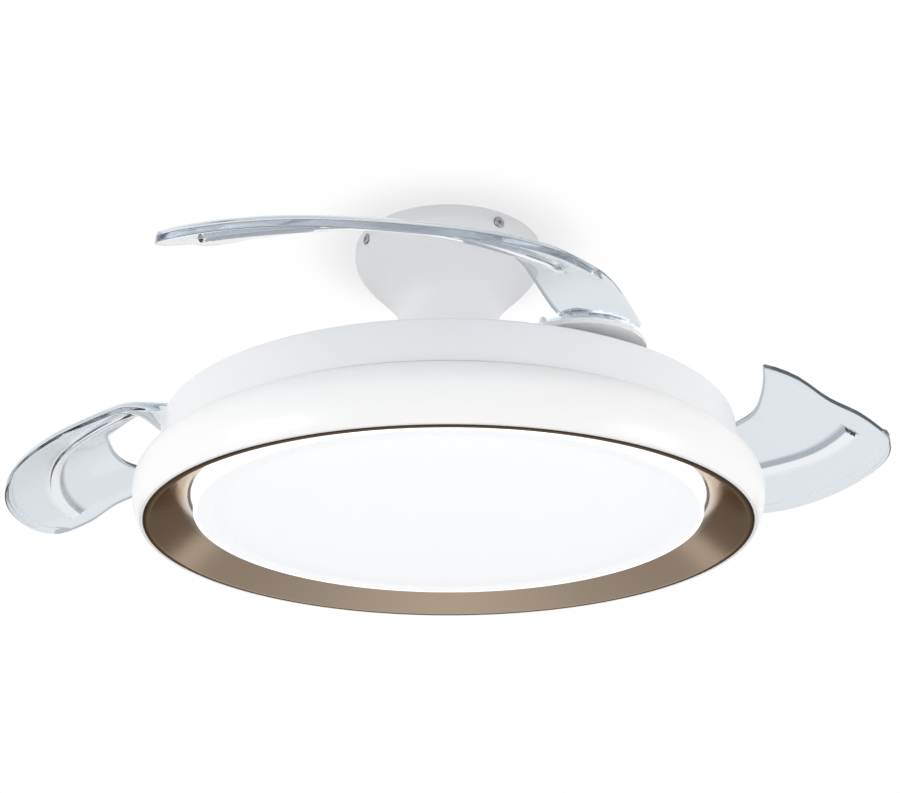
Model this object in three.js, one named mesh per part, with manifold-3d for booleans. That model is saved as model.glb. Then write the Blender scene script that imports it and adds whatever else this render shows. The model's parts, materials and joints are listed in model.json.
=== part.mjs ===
// A flush ceiling fan with a round lamp below it and three clear blades that fold in over the lamp.
// Millimetres, +Z up. The origin is the centre of the ceiling plate's top face, so the fan hangs down from z = 0.
// Inside the fan, heights are measured up from the lowest edge of the lamp's rim, and one group lowers them all.
import * as THREE from "three";
import { mergeVertices } from "three/addons/utils/BufferGeometryUtils.js";
import Module from "manifold-3d";

const wasm = await Module();
wasm.setup();

// ---------------------------------------------------------------- driving dimensions

const overallHeight = 268; // lowest edge of the rim up to the ceiling
const seatGap = 0.3; // between parts that seat on each other
const screwClearance = 0.3; // round a screw's shank, on the radius
const ringSides = 36; // facets round the lamp
const drumSides = 24; // facets round the canopy and the motor
const rodSides = 16; // facets round pins and bearings
const shankSides = 6; // facets round screws and their holes

// Lamp: a two-tier drum with a metallic cone and a lit disc in its mouth.
const shadeRadius = 255; // widest point of the lower tier
const shadeRimRadius = 247.5; // lower edge of the lower tier
const shadeBulgeHeight = 27; // height of the widest point
const shadeWall = 2.5;
const shadeRimLift = 0.5; // the white rim ends just above the metallic lip
const shadeFlangeWidth = 15;
const trayRadius = 237; // upper tier
const trayFoot = 50; // height of the crease between the tiers
const trayHeight = 33;
const trayWall = 2.5;
const trayShoulder = 3; // rounding of the upper tier's top edge
const trayFlange = 2;
const lipWidth = 4.7;
const coneRise = 26;
const coneTopRadius = 212;
const coneWall = 1.8;
const shelfWidth = 2.7; // flat ledge inside the cone's top
const discInset = 5; // cone's top to the lit disc's side
const diffuserBottom = 12.5;
const diffuserWall = 2.5;
const diffuserFlange = 6.5;
const diffuserRounding = 5;
const boardRadius = 190;
const boardThickness = 1.6;
const boardDrop = 24; // under the tray's top plate
const boardBore = 40;
const postDistance = 130;
const postRadius = 5;
const postPinRadius = 2;
const ledRings = [75, 150]; // radii on which the light sources sit
const ledSpacing = 95;
const ledSize = 3.5;
const lampDriverSize = new THREE.Vector3(110, 44, 17);
const lampDriverOffset = 85;
const shadeScrewInset = 8; // upper tier's side to the screws between the tiers

// Ceiling plate, canopy and the hollow shaft that carries motor and lamp.
const canopyRadius = 83;
const canopyNeckRadius = 44;
const canopyTopGap = 0.5;
const canopyBellDrop = 9; // ceiling down to where the bell begins to narrow
const canopyBellHeight = 60; // and from there to the neck
const canopyFoot = 158;
const canopyWall = 2.2;
const canopyScrewDrop = 11; // ceiling down to the canopy's screws
const canopyScrewAngle = 31; // degrees from +X to the first of four
const plateThickness = 2.5;
const plateInset = 4; // plate edge to the canopy's outside
const tabWidth = 16;
const tabThickness = 2;
const tabLength = 13;
const tabInset = 6; // tab face to the canopy's outside
const yokeDrop = 20;
const yokeThickness = 3;
const yokeWidth = 40;
const yokeHalfSpan = 26;
const cableHoleRadius = 9;
const cableHoleOffset = 13;
const slotOffset = 58;
const slotLength = 12;
const slotRadius = 2.8;
const shaftRadius = 10;
const shaftBore = 6;
const shaftFlangeRadius = 18;
const shaftFlangeThickness = 3;
const shaftCollarRadius = 16;
const shaftStub = 12; // shaft end below the lamp's top plate
const nutHeight = 6;
const nutRadius = 16;
const terminalSize = new THREE.Vector3(46, 20, 15);
const controllerSize = new THREE.Vector3(62, 30, 17);
const terminalOffset = 52;
const controllerOffset = 50;

// Motor: the coils stand still on the shaft and the cup with its magnets turns round them.
const carrierGap = 3.5; // between the lamp's top and the turning plate
const carrierThickness = 3;
const carrierRadius = 205;
const carrierBore = 26;
const cupRadius = 67;
const cupWall = 3;
const cupFlangeRadius = 80;
const cupHeight = 58;
const coverThickness = 3;
const bearingRadius = 21;
const bearingSplit = 15.5;
const bearingHeight = 8;
const bearingGap = 0.4; // running gap between the races
const sleeveWall = 4;
const magnetThickness = 4;
const airGap = 0.9;
const statorHeight = 24;
const statorFoot = 17; // above the cup's floor
const statorSlots = 12;
const slotDepth = 22;
const slotMouth = 3;
const yokeRing = 26; // radius of the stator's solid middle
const windingInner = 29;
const windingOuter = 52;
const windingHeight = 4.5;
const carrierScrewDistance = 73.5;

// Blades. The outline is set out in the closed pose, in polar steps about the fan's own axis.
const bladeCount = 3;
const firstPivotAngle = 60; // degrees from +X
const pivotDistance = 190;
const closedSwing = 45; // degrees from the near blade's pose to closed
const openSwing = 49; // degrees from that pose to fully open
const bladeSwings = [-2.8, 37.7, 0]; // degrees that the right, left and near blades stand further open
const bladeThickness = 4;
const bladeEdge = [239, 237, 236, 246, 252, 252, 250, 245, 235]; // outer radius at edgeSteps
const edgeSteps = [2, 12, 24, 38, 52, 66, 80, 92, 99]; // degrees back from the pivot
const bladeInner = [194, 182, 177, 170.5, 160, 142, 129]; // inner radius at innerSteps
const innerSteps = [13, 25, 38, 52, 68, 86, 103.5];
const bladeEndBow = [0, 3, 0.6, 1.6, 0]; // degrees that the end runs out between its corners, at endShares
const endShares = [0, 25, 50, 75, 100]; // percent of the way from its inner corner to its outer one
const levelSteps = [0, 20, 40, 60, 80, 104]; // degrees back from the pivot
const bladeLevels = [17.1, 7.2, -1.9, -9.3, -11.3, -11.1]; // lower face above its seat, at levelRadius
const bladeSlopes = [0.5, 0.52, 0.54, 0.67, 0.55, 0.56]; // rise of the closed blade towards the fan's axis
const levelRadius = 240;
const rootFlat = 45; // the blade is flat as far as this from its pivot
const rootBlend = 90; // and fully banked from here
const lipHeight = 4; // turned-up outer edge, above the blade
const lipRun = 7;
const ribRadius = 209;
const ribWidth = 8;
const ribDepth = 3.5;
const ribStart = 22; // degrees back from the pivot
const ribEnd = 94;
const tipRounding = 8;
const hookRounding = 7;
const bladeSteps = 13;

// Blade hub, from the turning plate upwards.
const hubRadius = 50;
const hubThickness = 4;
const hubLift = 0.5; // above the turning plate
const bossThickness = 5;
const clampRadius = 26;
const clampThickness = 3;
const bushRadius = 8;
const pinRadius = 5;
const pinThread = 4;
const pinHeadRadius = 14;
const pinHeadThickness = 2;
const hexHeight = 4;
const hexRadius = 7;
const springRadius = 10.5;
const springWire = 0.9; // radius of the wire
const springTurns = 3;
const springPitch = 2.8;
const bladeScrewDistance = 19;
const stopDistance = 44;
const stopRadius = 2.5;
const stopClearance = 0.5;

// ---------------------------------------------------------------- levels that follow

const trayTop = trayFoot + trayHeight;
const trayPlateFace = trayTop - trayWall;
const carrierFace = trayTop + carrierGap;
const carrierTop = carrierFace + carrierThickness;
const cupFloor = carrierTop + seatGap;
const cupFloorTop = cupFloor + cupWall;
const cupTop = cupFloor + cupHeight;
const coverFloor = cupTop + seatGap;
const coverTop = coverFloor + coverThickness;
const lowerBearingFoot = cupFloorTop + seatGap;
const upperBearingFoot = coverTop - bearingHeight - seatGap;
const statorBottom = cupFloorTop + statorFoot;
const statorTop = statorBottom + statorHeight;
const magnetOuter = cupRadius - cupWall - seatGap;
const magnetInner = magnetOuter - magnetThickness;
const statorRadius = magnetInner - airGap;
const hubFoot = carrierTop + hubLift;
const hubTop = hubFoot + hubThickness;
const bladeSeat = hubTop + seatGap;
const bossTop = bladeSeat + bossThickness;
const clampFoot = bossTop + seatGap;
const clampTop = clampFoot + clampThickness;
const springFoot = clampTop + seatGap;
const springLevel = springFoot + 3 * springWire;
const springTop = springLevel + springTurns * springPitch + 3 * springWire;
const pinHeadFoot = springTop + seatGap;
const plateFace = overallHeight - plateThickness;
const yokeFace = plateFace - yokeDrop;
const yokeFoot = yokeFace - yokeThickness;
const rimInside = shadeRimRadius - shadeWall;
const lipRadius = rimInside - seatGap;
const shelfRadius = coneTopRadius - shelfWidth;
const diffuserRadius = coneTopRadius - discInset;
const shadeScrewDistance = trayRadius - shadeScrewInset;
const canopyBellTop = overallHeight - canopyBellDrop;
const canopyBellFoot = canopyBellTop - canopyBellHeight;
const canopyScrewHeight = overallHeight - canopyScrewDrop;

// ---------------------------------------------------------------- finishes

const finish = (color, roughness, metalness = 0) =>
  new THREE.MeshStandardMaterial({ color, roughness, metalness });

const whitePaint = finish(0xf0f1f3, 0.35);
const bronze = finish(0x8a745c, 0.35, 0.8);
const opal = finish(0xfafafa, 0.5);
const clearPlastic = new THREE.MeshStandardMaterial({
  color: 0xdfe5ea,
  roughness: 0.08,
  transparent: true,
  opacity: 0.45,
});
const zincSteel = finish(0xb9bcc0, 0.35, 0.9);
const brightSteel = finish(0xc9ccd0, 0.25, 0.95);
const castAluminium = finish(0xb4b7ba, 0.45, 0.8);
const copper = finish(0xb0683a, 0.4, 0.85);
const magnetGrey = finish(0x55585c, 0.5, 0.6);
const nylon = finish(0xe8e6df, 0.5);
const boardWhite = finish(0xf4f5f0, 0.5);
const caseGrey = finish(0xd6d8da, 0.5);

// ---------------------------------------------------------------- shape helpers

const radians = THREE.MathUtils.degToRad;
const smoothstep = THREE.MathUtils.smoothstep;

// A closed mesh as a manifold solid.
function solid(geometry) {
  const bare = geometry.index ? geometry.toNonIndexed() : geometry.clone();
  bare.deleteAttribute("normal");
  bare.deleteAttribute("uv");
  const merged = mergeVertices(bare, 1e-4);
  return new wasm.Manifold(
    new wasm.Mesh({
      numProp: 3,
      vertProperties: merged.attributes.position.array,
      triVerts: new Uint32Array(merged.index.array),
    }),
  );
}

// A manifold solid as a three.js geometry.
function geometryOf(shape) {
  const { numProp, vertProperties, triVerts } = shape.getMesh();
  const stride = new THREE.InterleavedBuffer(new Float32Array(vertProperties), numProp);
  const geometry = new THREE.BufferGeometry();
  geometry.setAttribute("position", new THREE.InterleavedBufferAttribute(stride, 3, 0));
  geometry.setIndex([...triVerts]);
  const flat = geometry.toNonIndexed();
  flat.computeVertexNormals();
  return flat;
}

// A solid turned about Z from [radius, height] points: a closed outline, or one that starts and ends on the axis.
function turned(outline, sides) {
  const area = outline.reduce((sum, [r, z], i) => {
    const [nextR, nextZ] = outline[(i + 1) % outline.length];
    return sum + r * nextZ - nextR * z;
  }, 0);
  const points = (area > 0 ? outline : [...outline].reverse()).map(([r, z]) => new THREE.Vector2(r, z));
  const onAxis = points.findIndex((p) => p.x === 0 && points[(points.indexOf(p) + 1) % points.length].x > 0);
  if (onAxis >= 0) points.push(...points.splice(0, onAxis));
  else points.push(points[0].clone());
  return solid(new THREE.LatheGeometry(points, sides).rotateX(Math.PI / 2));
}

const disc = (radius, foot, top, sides = shankSides) =>
  turned([[0, foot], [radius, foot], [radius, top], [0, top]], sides);

const ring = (inner, outer, foot, top, sides = drumSides) =>
  turned([[inner, foot], [outer, foot], [outer, top], [inner, top]], sides);

const prism = (radius, corners, foot, top) => disc(radius, foot, top, corners);

function block(width, depth, foot, top) {
  const box = new THREE.BoxGeometry(width, depth, top - foot);
  return solid(box.translate(0, 0, (foot + top) / 2));
}

const joined = (shapes) => shapes.reduce((sum, shape) => sum.add(shape));
const cut = (shape, tools) => tools.reduce((rest, tool) => rest.subtract(tool), shape);

// The same solid at equal steps round Z.
function around(shape, count, firstAngle = 0) {
  return Array.from({ length: count }, (_, i) => shape.rotate([0, 0, firstAngle + (i * 360) / count]));
}

function named(name, shape, material) {
  const mesh = new THREE.Mesh(geometryOf(shape), material);
  mesh.name = name;
  return mesh;
}

// A hexagon-head screw along +Z: its head's underside at z = 0, its shank below.
function hexScrew(headRadius, headHeight, shankRadius, length) {
  return turned(
    [
      [0, -length],
      [shankRadius, -length],
      [shankRadius, 0],
      [headRadius, 0],
      [headRadius, headHeight],
      [0, headHeight],
    ],
    shankSides,
  );
}

// A pan-head screw placed the same way, with a cross recess in its head.
function crossScrew(headRadius, headHeight, shankRadius, length) {
  const body = turned(
    [
      [0, -length],
      [shankRadius, -length],
      [shankRadius, 0],
      [headRadius, 0],
      [headRadius, headHeight * 0.5],
      [headRadius * 0.7, headHeight],
      [0, headHeight],
    ],
    2 * shankSides,
  );
  const arm = headRadius * 1.1;
  const slit = headRadius * 0.24;
  const floor = headHeight * 0.45;
  return cut(body, [block(arm, slit, floor, headHeight + 1), block(slit, arm, floor, headHeight + 1)]);
}

// ---------------------------------------------------------------- lamp

// Outside radius of the lower tier at a height: two elliptic stretches that meet at the bulge.
function shadeOutside(height) {
  const sweep = radians(60);
  const above = height > shadeBulgeHeight;
  const rise = above ? trayFoot - shadeBulgeHeight : shadeBulgeHeight - shadeRimLift;
  const inset = above ? shadeRadius - trayRadius : shadeRadius - shadeRimRadius;
  const share = Math.min(1, Math.abs(height - shadeBulgeHeight) / rise);
  const turn = Math.asin(share * Math.sin(sweep));
  return shadeRadius - (inset * (1 - Math.cos(turn))) / (1 - Math.cos(sweep));
}

function shadeRing() {
  const wallTop = trayFoot - shadeWall;
  const outside = [0, 0.2, 0.52, 0.75, 0.9, 1].map((share) => {
    const height = shadeRimLift + share * (trayFoot - shadeRimLift);
    return [shadeOutside(height), height];
  });
  const inside = outside
    .filter(([, height]) => height < wallTop)
    .reverse()
    .map(([radius, height]) => [radius - shadeWall, height]);
  const flangeInner = trayRadius - shadeFlangeWidth;
  const top = shadeOutside(wallTop) - shadeWall;
  const shell = turned(
    [...outside, [flangeInner, trayFoot], [flangeInner, wallTop], [top, wallTop], ...inside],
    ringSides,
  );
  return cut(shell, shadeScrewHoles());
}

const shadeScrewShank = 2;
const shadeScrewAngle = 20; // degrees from +X

function shadeScrewHoles() {
  const hole = disc(shadeScrewShank + screwClearance, trayFoot - 10, trayFoot + 10);
  return around(hole.translate([shadeScrewDistance, 0, 0]), 3, shadeScrewAngle);
}

function lampTray() {
  const foot = trayFoot + seatGap;
  const inner = trayRadius - trayWall;
  const flangeInner = trayRadius - shadeFlangeWidth;
  const shoulder = [0, 45, 90].map((degrees) => [
    trayRadius - trayShoulder * (1 - Math.cos(radians(degrees))),
    trayTop - trayShoulder * (1 - Math.sin(radians(degrees))),
  ]);
  const pan = turned(
    [
      [shaftRadius + seatGap, trayPlateFace],
      [inner, trayPlateFace],
      [inner, foot + trayFlange],
      [flangeInner, foot + trayFlange],
      [flangeInner, foot],
      [trayRadius, foot],
      ...shoulder,
      [shaftRadius + seatGap, trayTop],
    ],
    ringSides,
  );
  const boardTop = trayPlateFace - boardDrop;
  const boardFoot = boardTop - boardThickness;
  const rivet = turned(
    [
      [0, trayPlateFace + 1],
      [postRadius, trayPlateFace + 1],
      [postRadius, boardTop + seatGap],
      [postPinRadius, boardTop + seatGap],
      [postPinRadius, boardFoot - seatGap],
      [postRadius, boardFoot - seatGap],
      [postRadius * 0.6, boardFoot - 2],
      [0, boardFoot - 2],
    ],
    shankSides,
  );
  const posts = around(rivet.translate([postDistance, 0, 0]), 3, 60);
  return cut(joined([pan, ...posts]), shadeScrewHoles());
}

function trimRing() {
  const coneOut = coneWall + 1.2;
  return turned(
    [
      [lipRadius - lipWidth, 0],
      [lipRadius, 0],
      [lipRadius, coneWall + 0.7],
      [coneTopRadius + coneOut, coneRise + coneWall],
      [shelfRadius, coneRise + coneWall],
      [shelfRadius, coneRise],
      [coneTopRadius, coneRise],
    ],
    ringSides,
  );
}

function diffuser() {
  const flangeFoot = coneRise + coneWall + seatGap;
  const rim = [90, 45, 0].map((degrees) => [
    diffuserRadius - diffuserRounding * (1 - Math.cos(radians(degrees))),
    diffuserBottom + diffuserRounding * (1 - Math.sin(radians(degrees))),
  ]);
  const inside = diffuserRadius - diffuserWall;
  return turned(
    [
      [0, diffuserBottom],
      ...rim,
      [diffuserRadius, flangeFoot],
      [diffuserRadius + diffuserFlange, flangeFoot],
      [diffuserRadius + diffuserFlange, flangeFoot + diffuserWall],
      [inside, flangeFoot + diffuserWall],
      [inside, diffuserBottom + diffuserRounding],
      [inside - diffuserRounding + diffuserWall, diffuserBottom + diffuserWall],
      [0, diffuserBottom + diffuserWall],
    ],
    ringSides,
  );
}

function ledBoard() {
  const top = trayPlateFace - boardDrop;
  const foot = top - boardThickness;
  const board = ring(boardBore, boardRadius, foot, top);
  const hole = disc(postPinRadius + screwClearance, foot - 1, top + 1).translate([postDistance, 0, 0]);
  const leds = ledRings.flatMap((radius) => {
    const count = Math.round((2 * Math.PI * radius) / ledSpacing);
    const chip = block(ledSize, ledSize, foot - 1, foot + boardThickness / 2);
    return around(chip.translate([radius, 0, 0]), count);
  });
  return cut(joined([board, ...leds]), around(hole, 3, 60));
}

function lampDriver() {
  const top = trayPlateFace - seatGap;
  const { x, y, z } = lampDriverSize;
  const box = block(x, y, top - z, top);
  const tab = block(x + 20, y / 3, top - 2, top);
  return joined([box, tab]).translate([0, lampDriverOffset, 0]);
}

// ---------------------------------------------------------------- ceiling plate, canopy, shaft

// Places a radial tool, drawn along +Z from z = 0, with z = 0 at a distance from the fan's axis.
function radial(shape, distance, height, angle) {
  return shape.rotate([0, 90, 0]).translate([distance, 0, height]).rotate([0, 0, angle]);
}

const canopyScrewShank = 1.9;
const canopyScrewHead = 4;
const canopyScrewRecess = 1.2;

function ceilingBracket() {
  const tabOuter = canopyRadius - tabInset;
  const plate = disc(canopyRadius - plateInset, plateFace, overallHeight, drumSides);
  const tab = block(tabThickness, tabWidth, plateFace - tabLength, plateFace + 1);
  const tabs = around(tab.translate([tabOuter - tabThickness / 2, 0, 0]), 4, canopyScrewAngle);
  const leg = block(yokeThickness, yokeWidth, yokeFoot, plateFace + 1);
  const legs = around(leg.translate([yokeHalfSpan, 0, 0]), 2);
  const bridge = block(2 * yokeHalfSpan, yokeWidth, yokeFoot, yokeFace);
  const slot = block(slotLength, 2 * slotRadius, plateFace - 1, overallHeight + 1);
  const tabHole = disc(canopyScrewShank + screwClearance, -10, 10, 2 * shankSides);
  return cut(joined([plate, ...tabs, ...legs, bridge]), [
    disc(shaftRadius + seatGap, yokeFoot - 1, yokeFace + 1, rodSides),
    disc(cableHoleRadius, plateFace - 1, overallHeight + 1, rodSides).translate([0, cableHoleRadius + cableHoleOffset, 0]),
    ...around(slot.translate([slotOffset, 0, 0]), 2),
    ...around(radial(tabHole, tabOuter, canopyScrewHeight, 0), 4, canopyScrewAngle),
  ]);
}

// Outside radius of the bell at a height.
const canopyOutside = (height) =>
  canopyNeckRadius +
  (canopyRadius - canopyNeckRadius) * smoothstep(height, canopyBellFoot, canopyBellTop);

function canopy() {
  const top = overallHeight - canopyTopGap;
  const bellSteps = 7;
  const outside = [[canopyNeckRadius, canopyFoot]];
  for (let i = 0; i <= bellSteps; i++) {
    const height = canopyBellFoot + ((canopyBellTop - canopyBellFoot) * i) / bellSteps;
    outside.push([canopyOutside(height), height]);
  }
  outside.push([canopyRadius, top]);
  const inside = outside
    .filter((_, i) => i % 2 === 0 || i >= bellSteps)
    .reverse()
    .map(([radius, height]) => [radius - canopyWall, height]);
  inside[inside.length - 1] = [canopyNeckRadius - canopyWall, canopyFoot + canopyWall];
  const floorBore = shaftRadius + 1;
  const shell = turned(
    [...outside, ...inside, [floorBore, canopyFoot + canopyWall], [floorBore, canopyFoot]],
    drumSides,
  );
  const hole = disc(canopyScrewShank + screwClearance, -6, 6, 2 * shankSides);
  const recess = disc(canopyScrewHead + screwClearance, 0, 6, 2 * shankSides);
  const seat = canopyRadius - canopyScrewRecess;
  return cut(shell, [
    ...around(radial(hole, seat, canopyScrewHeight, 0), 4, canopyScrewAngle),
    ...around(radial(recess, seat, canopyScrewHeight, 0), 4, canopyScrewAngle),
  ]);
}

function canopyScrew(index) {
  const shape = crossScrew(canopyScrewHead, 1.8, canopyScrewShank, 7);
  const seat = canopyRadius - canopyScrewRecess + seatGap;
  return radial(shape, seat, canopyScrewHeight, canopyScrewAngle + 90 * index);
}

function hollowShaft() {
  const top = yokeFace + seatGap + shaftFlangeThickness + 6;
  const flangeFoot = yokeFace + seatGap;
  const foot = trayPlateFace - shaftStub;
  return turned(
    [
      [shaftBore, foot],
      [shaftRadius, foot],
      [shaftRadius, trayTop + seatGap],
      [shaftCollarRadius, trayTop + seatGap],
      [shaftCollarRadius, carrierFace - seatGap],
      [shaftRadius, carrierFace + 1],
      [shaftRadius, flangeFoot],
      [shaftFlangeRadius, flangeFoot],
      [shaftFlangeRadius, flangeFoot + shaftFlangeThickness],
      [shaftRadius, flangeFoot + shaftFlangeThickness],
      [shaftRadius, top],
      [shaftBore, top],
    ],
    rodSides,
  );
}

function shaftNut(foot) {
  const bore = disc(shaftRadius + screwClearance, foot - 1, foot + nutHeight + 1, rodSides);
  return cut(prism(nutRadius, 6, foot, foot + nutHeight), [bore]);
}

function terminalBlock() {
  const { x, y, z } = terminalSize;
  const top = plateFace - seatGap;
  const ways = 4;
  const clampHole = disc(2.6, top - z - 1, top - z + 7);
  const holes = Array.from({ length: ways }, (_, i) =>
    clampHole.translate([(x / ways) * (i - (ways - 1) / 2), 0, 0]),
  );
  return cut(block(x, y, top - z, top), holes).translate([0, terminalOffset, 0]);
}

function motorController() {
  const { x, y, z } = controllerSize;
  const top = plateFace - seatGap;
  const box = block(x, y, top - z, top);
  const rim = block(x + 4, y + 4, top - 3, top);
  return joined([box, rim]).translate([0, -controllerOffset, 0]);
}

// ---------------------------------------------------------------- motor

function statorCore() {
  const body = ring(shaftRadius + seatGap, statorRadius, statorBottom, statorTop);
  const coilSpace = block(slotDepth, 9, statorBottom - 1, statorTop + 1);
  const mouth = block(12, slotMouth, statorBottom - 1, statorTop + 1);
  const tools = joined([
    coilSpace.translate([yokeRing + slotDepth / 2, 0, 0]),
    mouth.translate([yokeRing + slotDepth + 5, 0, 0]),
  ]);
  return cut(body, around(tools, statorSlots));
}

const winding = (foot) => ring(windingInner, windingOuter, foot, foot + windingHeight);

function rotorCup() {
  const hubInner = bearingRadius + seatGap;
  const sleeveTop = lowerBearingFoot + bearingHeight;
  const cup = turned(
    [
      [carrierBore, cupFloor],
      [cupFlangeRadius, cupFloor],
      [cupFlangeRadius, cupFloorTop],
      [cupRadius, cupFloorTop],
      [cupRadius, cupTop],
      [cupRadius - cupWall, cupTop],
      [cupRadius - cupWall, cupFloorTop],
      [hubInner + sleeveWall, cupFloorTop],
      [hubInner + sleeveWall, sleeveTop],
      [hubInner, sleeveTop],
      [hubInner, cupFloorTop - cupWall / 2],
      [bearingSplit + 2, cupFloorTop - cupWall / 2],
      [bearingSplit + 2, cupFloor],
    ],
    drumSides,
  );
  const hole = disc(carrierScrewShank + screwClearance, cupFloor - 1, cupFloorTop + 1);
  return cut(cup, around(hole.translate([carrierScrewDistance, 0, 0]), 3));
}

function rotorCover() {
  const hubInner = bearingRadius + seatGap;
  return turned(
    [
      [bearingSplit + 2, coverTop],
      [bearingSplit + 2, coverTop + 1.5],
      [cupRadius - 4, coverTop + 1.5],
      [cupRadius, coverTop - 1],
      [cupRadius, coverFloor],
      [hubInner + sleeveWall, coverFloor],
      [hubInner + sleeveWall, upperBearingFoot],
      [hubInner, upperBearingFoot],
      [hubInner, coverTop],
    ],
    drumSides,
  );
}

const magnetRing = () =>
  ring(magnetInner, magnetOuter, statorBottom - 2, statorTop + 2);

const innerRace = (foot) =>
  ring(shaftRadius + seatGap, bearingSplit - bearingGap / 2, foot, foot + bearingHeight, rodSides);

const outerRace = (foot) =>
  ring(bearingSplit + bearingGap / 2, bearingRadius, foot, foot + bearingHeight, rodSides);

// ---------------------------------------------------------------- turning plate

const carrierScrewShank = 2;
const pivotAngles = Array.from({ length: bladeCount }, (_, i) => firstPivotAngle + (i * 360) / bladeCount);

function bladeCarrier() {
  const plate = ring(carrierBore, carrierRadius, carrierFace, carrierTop, ringSides);
  const peg = disc(stopRadius, carrierTop - 1, carrierTop + hubLift + hubThickness - seatGap);
  const pegs = around(peg.translate([pivotDistance - stopDistance, 0, 0]), bladeCount, firstPivotAngle);
  const boltHole = disc(pinThread + screwClearance, carrierFace - 1, carrierTop + 1, rodSides);
  const screwHole = disc(carrierScrewShank + screwClearance, carrierFace - 1, carrierTop + 1);
  return cut(joined([plate, ...pegs]), [
    ...around(boltHole.translate([pivotDistance, 0, 0]), bladeCount, firstPivotAngle),
    ...around(screwHole.translate([carrierScrewDistance, 0, 0]), 3),
  ]);
}

function carrierScrew(index) {
  const shape = hexScrew(4, 2.5, carrierScrewShank, cupWall + carrierThickness);
  return shape.translate([carrierScrewDistance, 0, cupFloorTop + seatGap]).rotate([0, 0, 120 * index]);
}

// ---------------------------------------------------------------- blade

// Smooth interpolation through unequally spaced steps.
function through(steps, values) {
  const curve = new THREE.CatmullRomCurve3(
    steps.map((step, i) => new THREE.Vector3(step, values[i], 0)),
    false,
    "centripetal",
  );
  const points = curve.getPoints(120);
  return (at) => {
    const last = points.length - 1;
    const i = Math.min(Math.max(points.findIndex((p) => p.x > at), 1), last);
    const next = at >= points[last].x ? last : i;
    const a = points[next - 1];
    const b = points[next];
    return a.y + ((b.y - a.y) * (at - a.x)) / (b.x - a.x);
  };
}

const outerEdge = through(edgeSteps, bladeEdge);
const innerEdge = through(innerSteps, bladeInner);
const levelAt = through(levelSteps, bladeLevels);
const slopeAt = through(levelSteps, bladeSlopes);
const endBow = through(endShares, bladeEndBow);

// Height of the closed blade's lower face at a point given from the pivot.
function bladeLevel(x, y) {
  const fromPivot = Math.hypot(x, y);
  const fromAxis = Math.hypot(x + pivotDistance, y);
  const degrees = THREE.MathUtils.radToDeg(Math.atan2(-y, x + pivotDistance));
  const banked = smoothstep(fromPivot, rootFlat, rootBlend);
  return bladeSeat + banked * (levelAt(degrees) + slopeAt(degrees) * (levelRadius - fromAxis));
}

// How far a rounded corner draws the blade's end back, in mm, at a distance from the corner's side.
const drawnBack = (distance, rounding) =>
  distance >= rounding ? 0 : rounding - Math.sqrt(rounding ** 2 - (rounding - distance) ** 2);

function bladeSheet() {
  const rib = ribWidth / 2;
  const slope = 1.2; // run of the rib's sides
  const lastEdge = edgeSteps[edgeSteps.length - 1];
  const lastInner = innerSteps[innerSteps.length - 1];
  // Rows across the blade, each with its radius at a degree step back from the pivot.
  const rows = [
    (at) => innerEdge(at),
    (at) => innerEdge(at) + 0.3 * hookRounding,
    (at) => THREE.MathUtils.lerp(innerEdge(at), ribRadius - rib - slope, 0.5),
    () => ribRadius - rib - slope,
    () => ribRadius - rib,
    () => ribRadius + rib,
    () => ribRadius + rib + slope,
    (at) => outerEdge(at) - tipRounding,
    (at) => outerEdge(at) - lipRun,
    (at) => outerEdge(at) - 0.15 * tipRounding,
    (at) => outerEdge(at),
  ];
  const ribRows = [4, 5];
  const startOf = (share) => THREE.MathUtils.lerp(innerSteps[0], edgeSteps[0], share);
  const at = (row, step) => {
    const share = row / (rows.length - 1);
    const start = startOf(share);
    const endRadius = rows[row](THREE.MathUtils.lerp(lastInner, lastEdge, share));
    const span = outerEdge(lastEdge) - innerEdge(lastInner);
    const across = (endRadius - innerEdge(lastInner)) / span;
    const bow = endBow(100 * across);
    const back =
      drawnBack(endRadius - innerEdge(lastInner), hookRounding) +
      drawnBack(outerEdge(lastEdge) - endRadius, tipRounding);
    const end = THREE.MathUtils.lerp(lastInner, lastEdge, across) + bow;
    const endDegrees = end - THREE.MathUtils.radToDeg(back / endRadius);
    const degrees = THREE.MathUtils.lerp(start, endDegrees, step);
    const radius = rows[row](degrees);
    const angle = -radians(degrees);
    const x = radius * Math.cos(angle) - pivotDistance;
    const y = radius * Math.sin(angle);
    return { x, y, degrees, radius };
  };
  const lower = [];
  const upper = [];
  for (let row = 0; row < rows.length; row++) {
    for (let i = 0; i <= bladeSteps; i++) {
      const { x, y, degrees, radius } = at(row, i / bladeSteps);
      const level = bladeLevel(x, y);
      const ribbed = ribRows.includes(row) && degrees > ribStart && degrees < ribEnd;
      const lip = lipHeight * smoothstep(radius, outerEdge(degrees) - lipRun, outerEdge(degrees) - 1);
      lower.push(new THREE.Vector3(x, y, level - (ribbed ? ribDepth : 0)));
      upper.push(new THREE.Vector3(x, y, level + bladeThickness + lip));
    }
  }
  return gridSolid(lower, upper, rows.length, bladeSteps + 1);
}

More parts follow.
